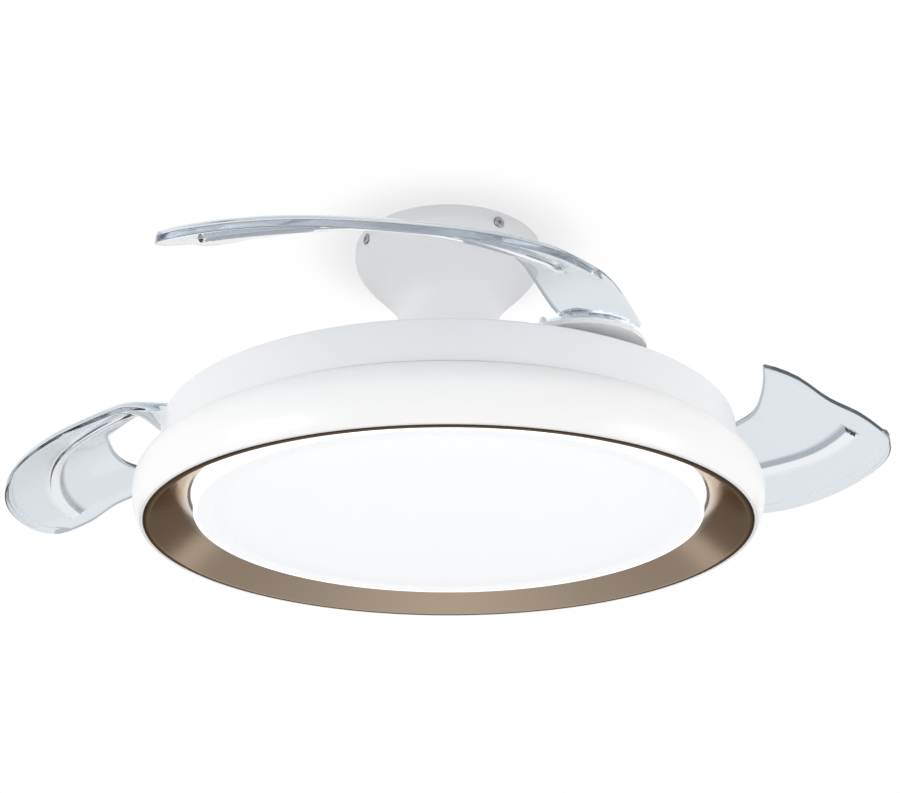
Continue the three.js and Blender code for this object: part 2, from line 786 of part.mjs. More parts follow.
// A closed sheet between two grids of rows x columns points; the rows run outwards.
function gridSolid(lower, upper, rows, columns) {
  const offset = rows * columns;
  const index = [];
  const quad = (a, b, c, d) => index.push(a, c, b, a, d, c);
  for (let r = 0; r < rows - 1; r++) {
    for (let c = 0; c < columns - 1; c++) {
      const [a, b] = [r * columns + c, (r + 1) * columns + c];
      quad(a, a + 1, b + 1, b);
      quad(offset + a, offset + b, offset + b + 1, offset + a + 1);
    }
  }
  const wall = (a, b) => quad(a, offset + a, offset + b, b);
  for (let c = 0; c < columns - 1; c++) {
    wall(c, c + 1);
    wall((rows - 1) * columns + c + 1, (rows - 1) * columns + c);
  }
  for (let r = 0; r < rows - 1; r++) {
    wall((r + 1) * columns, r * columns);
    wall(r * columns + columns - 1, (r + 1) * columns + columns - 1);
  }
  const geometry = new THREE.BufferGeometry().setFromPoints([...lower, ...upper]);
  geometry.setIndex(index);
  return solid(geometry);
}

const bladeScrewShank = 1.8;

function bladeScrewHoles(foot, top) {
  const hole = disc(bladeScrewShank + screwClearance, foot - 1, top + 1);
  return around(hole.translate([bladeScrewDistance, 0, 0]), 2);
}

function blade() {
  const boss = disc(hubRadius, bladeSeat, bossTop, drumSides);
  return cut(joined([bladeSheet(), boss]), [
    disc(bushRadius + seatGap, bladeSeat - 1, bossTop + 1, rodSides),
    ...bladeScrewHoles(bladeSeat, bossTop),
  ]);
}

// The stop peg stands in a notch of the hub's rim, which ends the blade's swing both ways.
function bladeHub() {
  const body = disc(hubRadius, hubFoot, hubTop, drumSides);
  const pegHalf = THREE.MathUtils.radToDeg(Math.asin((stopRadius + stopClearance) / stopDistance));
  const notchFrom = radians(180 - pegHalf - closedSwing - openSwing);
  const notchTo = radians(180 + pegHalf);
  const reach = hubRadius * 1.4;
  const notch = new THREE.Shape();
  const notchInner = stopDistance - stopRadius - stopClearance;
  notch.absarc(0, 0, reach, notchFrom, notchTo, false);
  notch.absarc(0, 0, notchInner, notchTo, notchFrom, true);
  const tool = new THREE.ExtrudeGeometry(notch, {
    depth: hubThickness + 2,
    bevelEnabled: false,
    curveSegments: 6,
  });
  return cut(body, [
    solid(tool.translate(0, 0, hubFoot - 1)),
    disc(bushRadius + seatGap, hubFoot - 1, hubTop + 1, rodSides),
    ...bladeScrewHoles(hubFoot, hubTop),
  ]);
}

function bladeClamp() {
  const plate = ring(bushRadius + seatGap, clampRadius, clampFoot, clampTop, rodSides);
  return cut(plate, bladeScrewHoles(clampFoot, clampTop));
}

function bladeScrew(index) {
  const length = clampTop + seatGap - hubFoot - 0.5;
  const shape = hexScrew(3.4, 2.2, bladeScrewShank, length);
  return shape.translate([bladeScrewDistance, 0, clampTop + seatGap]).rotate([0, 0, 180 * index]);
}

const pivotBush = () => ring(pinRadius + seatGap, bushRadius, carrierTop + seatGap, clampTop, rodSides);

function pivotBolt() {
  const shoulder = carrierTop + seatGap;
  const headTop = pinHeadFoot + pinHeadThickness;
  const body = turned(
    [
      [0, carrierFace],
      [pinThread, carrierFace],
      [pinThread, shoulder],
      [pinRadius, shoulder],
      [pinRadius, pinHeadFoot],
      [pinHeadRadius, pinHeadFoot],
      [pinHeadRadius, headTop],
      [0, headTop],
    ],
    rodSides,
  );
  return body.add(prism(hexRadius, 6, headTop - 1, headTop + hexHeight));
}

// A torsion spring: a helix with both ends bent square to the faces that they meet.
function returnSpring() {
  const stepsPerTurn = 8;
  const sides = 4;
  const path = [[0, springFoot]];
  for (let i = 0; i <= springTurns * stepsPerTurn; i++) {
    path.push([i / stepsPerTurn, springLevel + (springPitch * i) / stepsPerTurn]);
  }
  path.push([springTurns, springTop]);
  const centres = path.map(([turns, height]) => {
    const angle = 2 * Math.PI * turns;
    return new THREE.Vector3(springRadius * Math.cos(angle), springRadius * Math.sin(angle), height);
  });
  const rings = centres.map((centre, i) => {
    const before = i === 0 ? null : centre.clone().sub(centres[i - 1]).normalize();
    const after = i === centres.length - 1 ? null : centres[i + 1].clone().sub(centre).normalize();
    const along = new THREE.Vector3().add(before ?? after).add(after ?? before).normalize();
    const outward = new THREE.Vector3(centre.x, centre.y, 0).normalize();
    const across = along.clone().cross(outward).normalize();
    return Array.from({ length: sides }, (_, side) => {
      const angle = (2 * Math.PI * side) / sides;
      return centre
        .clone()
        .addScaledVector(outward, springWire * Math.cos(angle))
        .addScaledVector(across, springWire * Math.sin(angle));
    });
  });
  const index = [];
  for (let i = 0; i < rings.length - 1; i++) {
    for (let side = 0; side < sides; side++) {
      const a = i * sides + side;
      const b = i * sides + ((side + 1) % sides);
      index.push(a, b, a + sides, b, b + sides, a + sides);
    }
  }
  const last = (rings.length - 1) * sides;
  for (let side = 1; side < sides - 1; side++) {
    index.push(0, side + 1, side);
    index.push(last, last + side, last + side + 1);
  }
  const geometry = new THREE.BufferGeometry().setFromPoints(rings.flat());
  geometry.setIndex(index);
  console.log("return spring: least gap between turns", leastGap(centres).toFixed(2), "mm");
  return solid(geometry);
}

// The least distance between the wire's surfaces on turns that lie next to each other.
function leastGap(centres) {
  let least = Infinity;
  centres.forEach((a, i) => {
    centres.forEach((b, j) => {
      if (j - i > 5) least = Math.min(least, a.distanceTo(b) - 2 * springWire);
    });
  });
  return least;
}

// ---------------------------------------------------------------- assembly

const lamp = new THREE.Group();
lamp.add(
  named("lamp_tray", lampTray(), whitePaint),
  named("shade_ring", shadeRing(), whitePaint),
  named("trim_ring", trimRing(), bronze),
  named("diffuser", diffuser(), opal),
  named("led_board", ledBoard(), boardWhite),
  named("led_driver", lampDriver(), caseGrey),
);
const shadeScrewFace = trayFoot - shadeWall - seatGap;
for (let i = 0; i < 3; i++) {
  const shape = hexScrew(4.5, 2.2, shadeScrewShank, shadeWall + trayFlange + 5).rotate([180, 0, 0]);
  const placed = shape.translate([shadeScrewDistance, 0, shadeScrewFace]);
  lamp.add(named(`shade_screw_${i + 1}`, placed.rotate([0, 0, shadeScrewAngle + 120 * i]), zincSteel));
}

const mounting = new THREE.Group();
mounting.add(
  named("ceiling_bracket", ceilingBracket(), zincSteel),
  named("canopy", canopy(), whitePaint),
  named("hollow_shaft", hollowShaft(), zincSteel),
  named("shaft_top_nut", shaftNut(yokeFoot - seatGap - nutHeight), zincSteel),
  named("shaft_bottom_nut", shaftNut(trayPlateFace - seatGap - nutHeight), zincSteel),
  named("terminal_block", terminalBlock(), nylon),
  named("motor_controller", motorController(), caseGrey),
);
for (let i = 0; i < 4; i++) mounting.add(named(`canopy_screw_${i + 1}`, canopyScrew(i), brightSteel));

const stator = new THREE.Group();
stator.add(
  named("stator_core", statorCore(), magnetGrey),
  named("winding_upper", winding(statorTop + seatGap), copper),
  named("winding_lower", winding(statorBottom - seatGap - windingHeight), copper),
  named("lower_bearing_inner", innerRace(lowerBearingFoot), brightSteel),
  named("upper_bearing_inner", innerRace(upperBearingFoot), brightSteel),
);

const rotor = new THREE.Group();
rotor.add(
  named("rotor_cup", rotorCup(), castAluminium),
  named("rotor_cover", rotorCover(), castAluminium),
  named("magnet_ring", magnetRing(), magnetGrey),
  named("lower_bearing_outer", outerRace(lowerBearingFoot), brightSteel),
  named("upper_bearing_outer", outerRace(upperBearingFoot), brightSteel),
  named("blade_carrier", bladeCarrier(), whitePaint),
);
for (let i = 0; i < 3; i++) rotor.add(named(`carrier_screw_${i + 1}`, carrierScrew(i), zincSteel));

// Each blade hangs on its own pivot. The second one, on the left, stands further open than the others.
pivotAngles.forEach((angle, i) => {
  const arm = new THREE.Group();
  arm.rotation.z = radians(angle);
  const pivot = new THREE.Group();
  pivot.position.x = pivotDistance;
  arm.add(pivot);
  pivot.add(named(`pivot_bolt_${i + 1}`, pivotBolt(), zincSteel));
  const swing = new THREE.Group();
  swing.rotation.z = radians(closedSwing + bladeSwings[i]);
  swing.add(
    named(`blade_${i + 1}`, blade(), clearPlastic),
    named(`blade_hub_${i + 1}`, bladeHub(), whitePaint),
    named(`blade_clamp_${i + 1}`, bladeClamp(), whitePaint),
    named(`pivot_bush_${i + 1}`, pivotBush(), nylon),
    named(`return_spring_${i + 1}`, returnSpring(), brightSteel),
    named(`blade_screw_${i + 1}a`, bladeScrew(0), zincSteel),
    named(`blade_screw_${i + 1}b`, bladeScrew(1), zincSteel),
  );
  pivot.add(swing);
  rotor.add(arm);
});

const fan = new THREE.Group();
fan.add(mounting, stator, rotor, lamp);
fan.position.z = -overallHeight;

export default fan;
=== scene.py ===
"""Looks for a flush ceiling fan with a drum lamp below it and three clear blades that fold in over the lamp.

The pieces are drawn in millimetres, with heights counted up from the lowest edge of the lamp's rim, as in the
part's source. framed() scales them to metres and lowers them to the ceiling's frame, in which the finishes
and the stage give their lengths.
"""

from __future__ import annotations

import json
import logging
import math
from dataclasses import dataclass
from enum import Enum
from typing import Any, Callable, Iterable, Sequence

import bmesh
import bpy
import numpy as np
from mathutils import Matrix, Vector

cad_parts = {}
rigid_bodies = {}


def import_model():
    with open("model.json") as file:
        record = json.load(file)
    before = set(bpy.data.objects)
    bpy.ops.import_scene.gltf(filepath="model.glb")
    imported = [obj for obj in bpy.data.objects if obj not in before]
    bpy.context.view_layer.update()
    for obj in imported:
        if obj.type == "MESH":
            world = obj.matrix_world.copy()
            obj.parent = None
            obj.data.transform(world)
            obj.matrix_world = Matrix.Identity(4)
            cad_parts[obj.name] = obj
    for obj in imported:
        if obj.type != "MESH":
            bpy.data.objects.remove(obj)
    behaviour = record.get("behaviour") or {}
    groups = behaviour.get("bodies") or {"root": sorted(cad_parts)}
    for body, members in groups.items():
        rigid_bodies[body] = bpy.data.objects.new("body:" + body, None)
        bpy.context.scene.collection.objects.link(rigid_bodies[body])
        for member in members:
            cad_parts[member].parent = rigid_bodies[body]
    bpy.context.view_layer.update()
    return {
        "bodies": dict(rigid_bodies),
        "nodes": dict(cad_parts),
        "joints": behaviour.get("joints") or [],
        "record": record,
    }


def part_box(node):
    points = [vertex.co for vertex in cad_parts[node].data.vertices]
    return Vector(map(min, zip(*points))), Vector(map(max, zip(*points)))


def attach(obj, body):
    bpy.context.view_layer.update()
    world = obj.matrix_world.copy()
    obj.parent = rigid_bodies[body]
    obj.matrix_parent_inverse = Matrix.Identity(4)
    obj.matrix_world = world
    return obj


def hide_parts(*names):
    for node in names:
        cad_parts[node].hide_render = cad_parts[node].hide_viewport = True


log = logging.getLogger("fan")

MM = 0.001
OVERALL_HEIGHT = 268.0
SEAT_GAP = 0.3
TO_FRAME = Matrix.Translation((0, 0, -OVERALL_HEIGHT * MM)) @ Matrix.Scale(MM, 4)
MERGE_DISTANCE = 1e-7
SEAM_DISTANCE = 1e-4
HELIX_STEPS = 48
WIRE_SIDES = 14
LYING = Matrix.Rotation(math.pi / 2, 4, "Y")
BUMP_DISTANCE = 0.0005
RING_SCALE = 2500.0
BROAD_SHARE = 0.03
# Masks of the blade's painted light: the cut edges and the rib's wall take painted shade and glow, the rib's
# crest a painted highlight.
BLADE_MARKS = ("cut", "wall", "crest")
CURVE_SAMPLES = 120
WHITE = (1.0, 1.0, 1.0, 1.0)
BLACK = (0.0, 0.0, 0.0, 1.0)

Point = tuple[float, float]
Colour = tuple[float, float, float]
Obj, Mesh, Tree, Material = bpy.types.Object, bpy.types.Mesh, bpy.types.NodeTree, bpy.types.Material


class Body(str, Enum):
    """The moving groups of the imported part."""

    CEILING = "ceiling_unit"
    ROTOR = "rotor"
    BLADE_1 = "blade_arm_1"
    BLADE_2 = "blade_arm_2"
    BLADE_3 = "blade_arm_3"


BLADE_BODIES = (Body.BLADE_1, Body.BLADE_2, Body.BLADE_3)


# --- node trees


class Graph:
    """Adds nodes to a tree and joins them."""

    def __init__(self, tree: Tree) -> None:
        """Keeps the tree that the nodes go into."""
        self.tree = tree

    def node(self, kind: str, inputs: dict[Any, Any] | None = None, **settings: Any) -> bpy.types.Node:
        """Adds one node.

        Args:
            kind: Blender's type name of the node.
            inputs: Values or sockets by input name or number.
            settings: Properties of the node itself.

        Returns:
            The new node.
        """
        made = self.tree.nodes.new(kind)
        for key, value in settings.items():
            setattr(made, key, value)
        for key, value in (inputs or {}).items():
            target = made.inputs[key] if isinstance(key, int) else usable(made.inputs, key)
            if isinstance(value, bpy.types.NodeSocket):
                self.tree.links.new(value, target)
            else:
                target.default_value = value
        return made

    def out(
        self, kind: str, inputs: dict[Any, Any] | None = None, result: str | int = 0, **settings: Any
    ) -> Any:
        """Adds one node and returns its output socket of that name or number."""
        made = self.node(kind, inputs, **settings)
        return made.outputs[result] if isinstance(result, int) else usable(made.outputs, result)

    def math(self, operation: str, first: Any, second: Any = 0.0) -> Any:
        """Adds a Math node and returns its result."""
        return self.out("ShaderNodeMath", {0: first, 1: second}, operation=operation)

    def split(self, vector: Any) -> Any:
        """Returns the X, Y and Z sockets of a vector."""
        return self.node("ShaderNodeSeparateXYZ", {0: vector}).outputs

    def here(self) -> Any:
        """Returns the X, Y and Z sockets of the object's own coordinates."""
        return self.split(self.out("ShaderNodeTexCoord", result="Object"))

    def from_axis(self) -> Any:
        """Returns a socket that gives the distance from the fan's axis."""
        place = self.here()
        squares = [self.math("MULTIPLY", place[axis], place[axis]) for axis in "XY"]
        return self.math("SQRT", self.math("ADD", *squares))

    def bell(self, value: Any) -> Any:
        """Returns a socket that falls from one at nought as a bell curve does."""
        return self.math("EXPONENT", self.math("MULTIPLY", self.math("MULTIPLY", value, value), -1.0))

    def ranged(self, value: Any, start: Point, end: Point) -> Any:
        """Runs straight from one pair of value and result to another, and level beyond both."""
        span = {"From Min": start[0], "To Min": start[1], "From Max": end[0], "To Max": end[1]}
        return self.out("ShaderNodeMapRange", {"Value": value, **span})

    def grey(self, share: Any) -> Any:
        """Turns a share into a grey colour."""
        return self.out("ShaderNodeCombineColor", {0: share, 1: share, 2: share})

    def mixed(self, share: Any, first: Any, second: Any, blend: str = "MIX") -> Any:
        """Blends two colours."""
        parts = {"Factor": share, "A": first, "B": second}
        return self.out("ShaderNodeMix", parts, result="Result", data_type="RGBA", blend_type=blend)

    def shaded(self, colour: Any, share: Any) -> Any:
        """Multiplies a colour by a share."""
        return self.mixed(1.0, colour, self.grey(share), "MULTIPLY")


def usable(sockets: Iterable[bpy.types.NodeSocket], name: str) -> bpy.types.NodeSocket:
    """Finds the socket of a name that the node's settings leave in use."""
    return next(s for s in sockets if s.name == name and s.enabled)


def emptied(block: Material | bpy.types.World) -> Graph:
    """Switches the nodes of a material or world on and clears them."""
    block.use_nodes = True
    block.node_tree.nodes.clear()
    return Graph(block.node_tree)


def tree_with(kind: str, name: str, inputs: dict[str, str], output: dict[str, str]) -> Graph:
    """Makes a node group with named sockets.

    Args:
        kind: Geometry or Shader.
        name: The group's name.
        inputs: Type of each input socket by name.
        output: Type of each output socket by name.

    Returns:
        A graph of the new group.
    """
    tree = bpy.data.node_groups.new(name, kind + "NodeTree")
    for side, sockets in (("INPUT", inputs), ("OUTPUT", output)):
        for socket, socket_type in sockets.items():
            tree.interface.new_socket(socket, in_out=side, socket_type="NodeSocket" + socket_type)
    return Graph(tree)


def dressed(g: Graph, geometry: Any, material: Any) -> Tree:
    """Ends a geometry tree: makes its instances real, sets their material and puts them out."""
    real = g.out("GeometryNodeRealizeInstances", {"Geometry": geometry})
    g.node("NodeGroupOutput", {0: g.out("GeometryNodeSetMaterial", {"Geometry": real, "Material": material})})
    return g.tree


def turned_tree() -> Tree:
    """Builds the tree that turns a closed outline about Z: the outline's points lie on the XZ plane."""
    inputs = {"Outline": "Geometry", "Segments": "Int", "Points": "Int", "Material": "Material"}
    g = tree_with("Geometry", "turned_shell", inputs, {"Shell": "Geometry"})
    given = g.node("NodeGroupInput").outputs
    along, across = (g.math("ADD", given[name], 1) for name in ("Segments", "Points"))
    size = {"Size X": 1.0, "Size Y": 1.0, "Vertices X": along, "Vertices Y": across}
    grid = g.out("GeometryNodeMeshGrid", size)
    position = g.out("GeometryNodeInputPosition")
    place = g.split(position)
    angle = g.math("MULTIPLY", g.math("ADD", place["X"], 0.5), 2 * math.pi)
    row = g.math("ROUND", g.math("MULTIPLY", g.math("ADD", place["Y"], 0.5), given["Points"]))
    index = g.math("MODULO", row, given["Points"])
    wanted = {"Geometry": given["Outline"], "Value": position, "Index": index}
    kind = {"data_type": "FLOAT_VECTOR", "domain": "POINT"}
    outline = g.split(g.out("GeometryNodeSampleIndex", wanted, "Value", **kind))
    x = g.math("MULTIPLY", outline["X"], g.math("COSINE", angle))
    y = g.math("MULTIPLY", outline["X"], g.math("SINE", angle))
    turned_to = g.out("ShaderNodeCombineXYZ", {"X": x, "Y": y, "Z": outline["Z"]})
    moved = g.out("GeometryNodeSetPosition", {"Geometry": grid, "Position": turned_to})
    merged = g.out("GeometryNodeMergeByDistance", {"Geometry": moved, "Distance": SEAM_DISTANCE})
    return dressed(g, merged, given["Material"])


def ring_tree() -> Tree:
    """Builds the tree that repeats a piece at equal steps round a circle, its +X pointing outwards."""
    inputs = {"Piece": "Geometry", "Count": "Int", "Radius": "Float", "First Angle": "Float"}
    inputs |= {"Centre": "Vector", "Material": "Material"}
    g = tree_with("Geometry", "round_a_circle", inputs, {"Ring": "Geometry"})
    given = g.node("NodeGroupInput").outputs
    circle = g.out("GeometryNodeMeshCircle", {"Vertices": given["Count"], "Radius": given["Radius"]})
    turn = g.out("ShaderNodeCombineXYZ", {"Z": given["First Angle"]})
    points = g.out("GeometryNodeTransform", {"Geometry": circle, "Rotation": turn})
    place = g.split(g.out("GeometryNodeInputPosition"))
    outward = g.out("ShaderNodeCombineXYZ", {"Z": g.math("ARCTAN2", place["Y"], place["X"])})
    copied = {"Points": points, "Instance": given["Piece"], "Rotation": outward}
    real = g.out("GeometryNodeRealizeInstances", {"Geometry": g.out("GeometryNodeInstanceOnPoints", copied)})
    placed = g.out("GeometryNodeTransform", {"Geometry": real, "Translation": given["Centre"]})
    return dressed(g, placed, given["Material"])


def helix_tree() -> Tree:
    """Builds the tree that winds a wire into a helix about Z."""
    inputs = {"Seed": "Geometry", "Radius": "Float", "Wire Radius": "Float", "Turns": "Float"}
    inputs |= {"Height": "Float", "Material": "Material"}
    g = tree_with("Geometry", "wound_wire", inputs, {"Coil": "Geometry"})
    given = g.node("NodeGroupInput").outputs
    ends = {"Start Radius": given["Radius"], "End Radius": given["Radius"], "Height": given["Height"]}
    turns = {"Resolution": HELIX_STEPS, "Rotations": given["Turns"]}
    spiral = g.out("GeometryNodeCurveSpiral", turns | ends)
    round_wire = {"Resolution": WIRE_SIDES, "Radius": given["Wire Radius"]}
    wire = g.out("GeometryNodeCurvePrimitiveCircle", round_wire)
    tube = g.out("GeometryNodeCurveToMesh", {"Curve": spiral, "Profile Curve": wire, "Fill Caps": True})
    return dressed(g, tube, given["Material"])


# --- mesh making


def as_object(name: str, mesh: Mesh) -> Obj:
    """Puts a mesh into the scene as an object at the origin."""
    obj = bpy.data.objects.new(name, mesh)
    bpy.context.scene.collection.objects.link(obj)
    return obj


def mesh_of(name: str, points: Iterable[Sequence[float]], faces: Iterable[Sequence[int]] = ()) -> Mesh:
    """Makes a mesh from points and faces."""
    mesh = bpy.data.meshes.new(name)
    mesh.from_pydata([tuple(p) for p in points], [], [tuple(f) for f in faces])
    mesh.update()
    return mesh


def baked(obj: Obj) -> Obj:
    """Replaces an object's mesh by what its modifiers make of it, and removes them."""
    bpy.context.view_layer.update()
    graph = bpy.context.evaluated_depsgraph_get()
    mesh = bpy.data.meshes.new_from_object(obj.evaluated_get(graph), depsgraph=graph)
    obj.modifiers.clear()
    obj.data = mesh
    return obj


def grown(name: str, seed: Mesh, tree: Tree, values: dict[str, Any]) -> Obj:
    """Runs a Geometry Nodes tree on a mesh and keeps the result as a plain mesh.

    Args:
        name: Name of the new object.
        seed: The mesh that goes into the tree.
        tree: The tree to run.
        values: Values of the tree's other inputs by name.

    Returns:
        The object with the finished mesh.
    """
    obj = as_object(name, seed)
    modifier = obj.modifiers.new("grow", "NODES")
    modifier.node_group = tree
    identifiers = {i.name: i.identifier for i in tree.interface.items_tree if i.in_out == "INPUT"}
    for key, value in values.items():
        modifier[identifiers[key]] = value
    return baked(obj)


def tidied(obj: Obj, sharp_angle: float = 32.0) -> Obj:
    """Merges doubles, drops loose edges, turns faces outwards and smooths all but the sharp edges."""
    work = bmesh.new()
    work.from_mesh(obj.data)
    bmesh.ops.remove_doubles(work, verts=work.verts, dist=MERGE_DISTANCE)
    bmesh.ops.delete(work, geom=[e for e in work.edges if not e.link_faces], context="EDGES")
    bmesh.ops.delete(work, geom=[v for v in work.verts if not v.link_edges], context="VERTS")
    if work.calc_volume(signed=True) < 0:
        bmesh.ops.reverse_faces(work, faces=work.faces)
    work.to_mesh(obj.data)
    work.free()
    obj.data.shade_smooth()
    obj.data.set_sharp_from_angle(angle=math.radians(sharp_angle))
    return obj


def filleted(corners: Sequence[Sequence[float]], steps: int = 4) -> list[Point]:
    """Rounds the corners of a closed outline.

    Args:
        corners: Radius, height and, where a corner is rounded, how far the rounding reaches along both sides.
        steps: Facets in each rounding.

    Returns:
        The points of the rounded outline.
    """
    rounded: list[Point] = []
    count = len(corners)
    for i, corner in enumerate(corners):
        here = np.array(corner[:2], float)
        if len(corner) < 3:
            rounded.append((here[0], here[1]))
            continue
        before, after = (np.array(corners[k % count][:2], float) - here for k in (i - 1, i + 1))
        start = here + before / np.linalg.norm(before) * corner[2]
        end = here + after / np.linalg.norm(after) * corner[2]
        for t in (k / steps for k in range(steps + 1)):
            point = (1 - t) ** 2 * start + 2 * t * (1 - t) * here + t**2 * end
            rounded.append((float(point[0]), float(point[1])))
    return rounded


def circle_points(radius: float, count: int, first: float = 0.0) -> list[Point]:
    """Returns points at equal steps round a circle, the first one at an angle in degrees."""
    steps = [math.radians(first) + 2 * math.pi * i / count for i in range(count)]
    return [(radius * math.cos(a), radius * math.sin(a)) for a in steps]


def stacked(name: str, rings: Sequence[Sequence[Point]], heights: Sequence[float]) -> Mesh:
    """Joins rings of equal point counts at their heights into one closed mesh."""
    count = len(rings[0])
    points = [(x, y, h) for ring, h in zip(rings, heights) for x, y in ring]
    faces = [tuple(range(count))[::-1], tuple(range(len(points) - count, len(points)))]
    for base in range(0, len(points) - count, count):
        for i in range(count):
            j = (i + 1) % count
            faces.append((base + i, base + j, base + count + j, base + count + i))
    return mesh_of(name, points, faces)


def box_outline(width: float, depth: float) -> list[Point]:
    """Returns the corners of a rectangle about the middle."""
    x, y = width / 2, depth / 2
    return [(-x, -y), (x, -y), (x, y), (-x, y)]


def outward(mesh: Mesh) -> Mesh:
    """Turns a closed mesh's faces outwards."""
    work = bmesh.new()
    work.from_mesh(mesh)
    bmesh.ops.recalc_face_normals(work, faces=work.faces)
    work.to_mesh(mesh)
    work.free()
    return mesh


def combined(obj: Obj, tools: Iterable[Mesh], operation: str) -> Obj:
    """Cuts tools out of an object, or joins them to it, and removes them.

    Args:
        obj: The object that is changed.
        tools: Closed meshes in the object's own space.
        operation: DIFFERENCE or UNION.

    Returns:
        The same object.
    """
    helpers = [as_object("tool", outward(mesh)) for mesh in tools]
    for helper in helpers:
        modifier = obj.modifiers.new("tool", "BOOLEAN")
        modifier.object, modifier.operation, modifier.solver = helper, operation, "EXACT"
    baked(obj)
    for helper in helpers:
        bpy.data.objects.remove(helper)
    return obj


def framed(obj: Obj, placing: Matrix | None = None) -> Obj:
    """Brings a mesh in millimetres into the frame, after an optional move."""
    obj.data.transform(TO_FRAME @ (placing or Matrix.Identity(4)))
    return obj


# --- finishes


def linear(red: float, green: float, blue: float) -> tuple[float, float, float, float]:
    """Turns a screen colour, 0 to 255, into the linear values that materials take."""

    def channel(value: float) -> float:
        """Converts one channel."""
        share = value / 255
        return share / 12.92 if share <= 0.04045 else ((share + 0.055) / 1.055) ** 2.4

    return (channel(red), channel(green), channel(blue), 1.0)


def marks_tree(name: str, turned: bool) -> Tree:
    """Builds the shader group that varies a surface's tone and height.

    Args:
        name: The group's name.
        turned: True for the fine rings that a lathe leaves about the fan's axis, False for a cloudy grain.

    Returns:
        The group: its tone lies about one.
    """
    inputs = {"Scale": "Float", "Variation": "Float"}
    g = tree_with("Shader", name, inputs, {"Tone": "Float", "Height": "Float"})
    given = g.node("NodeGroupInput").outputs

    def noise(place: Any, scale: Any, detail: float) -> Any:
        """Adds one noise."""
        return g.out("ShaderNodeTexNoise", {"Vector": place, "Scale": scale, "Detail": detail})

    if turned:
        place = g.out("ShaderNodeCombineXYZ", {"X": g.from_axis(), "Y": g.here()["Z"]})
        height = broad = noise(place, given["Scale"], 4.0)
    else:
        place = g.out("ShaderNodeTexCoord", result="Object")
        height = noise(place, given["Scale"], 3.0)
        broad = noise(place, g.math("MULTIPLY", given["Scale"], BROAD_SHARE), 4.0)
    spread = g.math("MULTIPLY", g.math("SUBTRACT", broad, 0.5), given["Variation"])
    g.node("NodeGroupOutput", {"Tone": g.math("ADD", spread, 1.0), "Height": height})
    return g.tree


@dataclass(frozen=True)
class Finish:
    """A surface finish: colour, gloss and the grain that its tone and relief take."""

    slot: str
    colour: Colour
    roughness: float
    metallic: float = 0.0
    coat: float = 0.0
    coat_roughness: float = 0.1
    grain_scale: float = 900.0
    variation: float = 0.05
    relief: float = 0.02
    turned: bool = False
    grazing_tint: Colour = (255, 255, 255)

    def material(self, marks_trees: dict[bool, Tree]) -> Material:
        """Builds the finish as a material.

        Args:
            marks_trees: The shared shader groups, by whether they make turning marks.

        Returns:
            The material.
        """
        made = bpy.data.materials.new(self.slot)
        g = emptied(made)
        marks = g.node("ShaderNodeGroup", node_tree=marks_trees[self.turned])
        marks.inputs["Scale"].default_value = RING_SCALE if self.turned else self.grain_scale
        marks.inputs["Variation"].default_value = self.variation
        tone = marks.outputs["Tone"]
        raised = {"Strength": self.relief, "Distance": BUMP_DISTANCE, "Height": marks.outputs["Height"]}
        inputs = {
            "Base Color": g.shaded(linear(*self.colour), tone),
            "Metallic": self.metallic,
            "Roughness": g.math("MULTIPLY", tone, self.roughness),
            "Specular Tint": linear(*self.grazing_tint),
            "Coat Weight": self.coat,
            "Coat Roughness": self.coat_roughness,
            "Normal": g.out("ShaderNodeBump", raised),
        }
        shader = g.node("ShaderNodeBsdfPrincipled", inputs)
        self.dress(g, shader)
        g.node("ShaderNodeOutputMaterial", {"Surface": shader.outputs[0]})
        return made

    def dress(self, g: Graph, shader: bpy.types.Node) -> None:
        """Adds nothing here: the special finishes add their own sockets."""


def base_colour(shader: bpy.types.Node) -> Any:
    """Returns the socket that feeds a shader's base colour."""
    return shader.inputs["Base Color"].links[0].from_socket


@dataclass(frozen=True)
class OpalFinish(Finish):
    """Milky plastic that glows evenly on its face and more on its side, where the board's light leaks out."""

    face_glow: float = 0.31
    side_glow: float = 0.75
    side_from: float = 0.2035
    side_full: float = 0.2065

    def dress(self, g: Graph, shader: bpy.types.Node) -> None:
        """Adds the glow."""
        face = (self.side_from, self.face_glow / self.side_glow)
        share = g.ranged(g.from_axis(), face, (self.side_full, 1.0))
        g.tree.links.new(g.grey(share), shader.inputs["Emission Color"])
        shader.inputs["Emission Strength"].default_value = self.side_glow


@dataclass(frozen=True)
class BronzeFinish(Finish):
    """Brushed bronze with a painted reflection of the lit disc, a pale band beside the disc, and a painted
    shadow, a dark line along its flat lip.
    """

    # Painted reflection: a pale band beside the disc, where the cone would reflect the disc's lit edge.
    painted_reflection_colour: Colour = (216, 217, 214)
    painted_reflection_full: float = 0.2135
    painted_reflection_end: float = 0.2185
    # Painted shadow: the lip darkens towards its outer edge, against the white rim.
    lip_from: float = 0.2405
    lip_full: float = 0.2435
    lip_painted_shade: float = 0.12

    def dress(self, g: Graph, shader: bpy.types.Node) -> None:
        """Adds the painted reflection band and the painted shadow on the lip."""
        radius = g.from_axis()
        # Painted reflection of the lit disc beside it, then painted shadow along the lip.
        painted_reflection = g.ranged(radius, (self.painted_reflection_full, 1.0), (self.painted_reflection_end, 0.0))
        with_painted_reflection = g.mixed(painted_reflection, base_colour(shader), linear(*self.painted_reflection_colour))
        lip = g.ranged(radius, (self.lip_from, 1.0), (self.lip_full, self.lip_painted_shade))
        g.tree.links.new(g.shaded(with_painted_reflection, lip), shader.inputs["Base Color"])


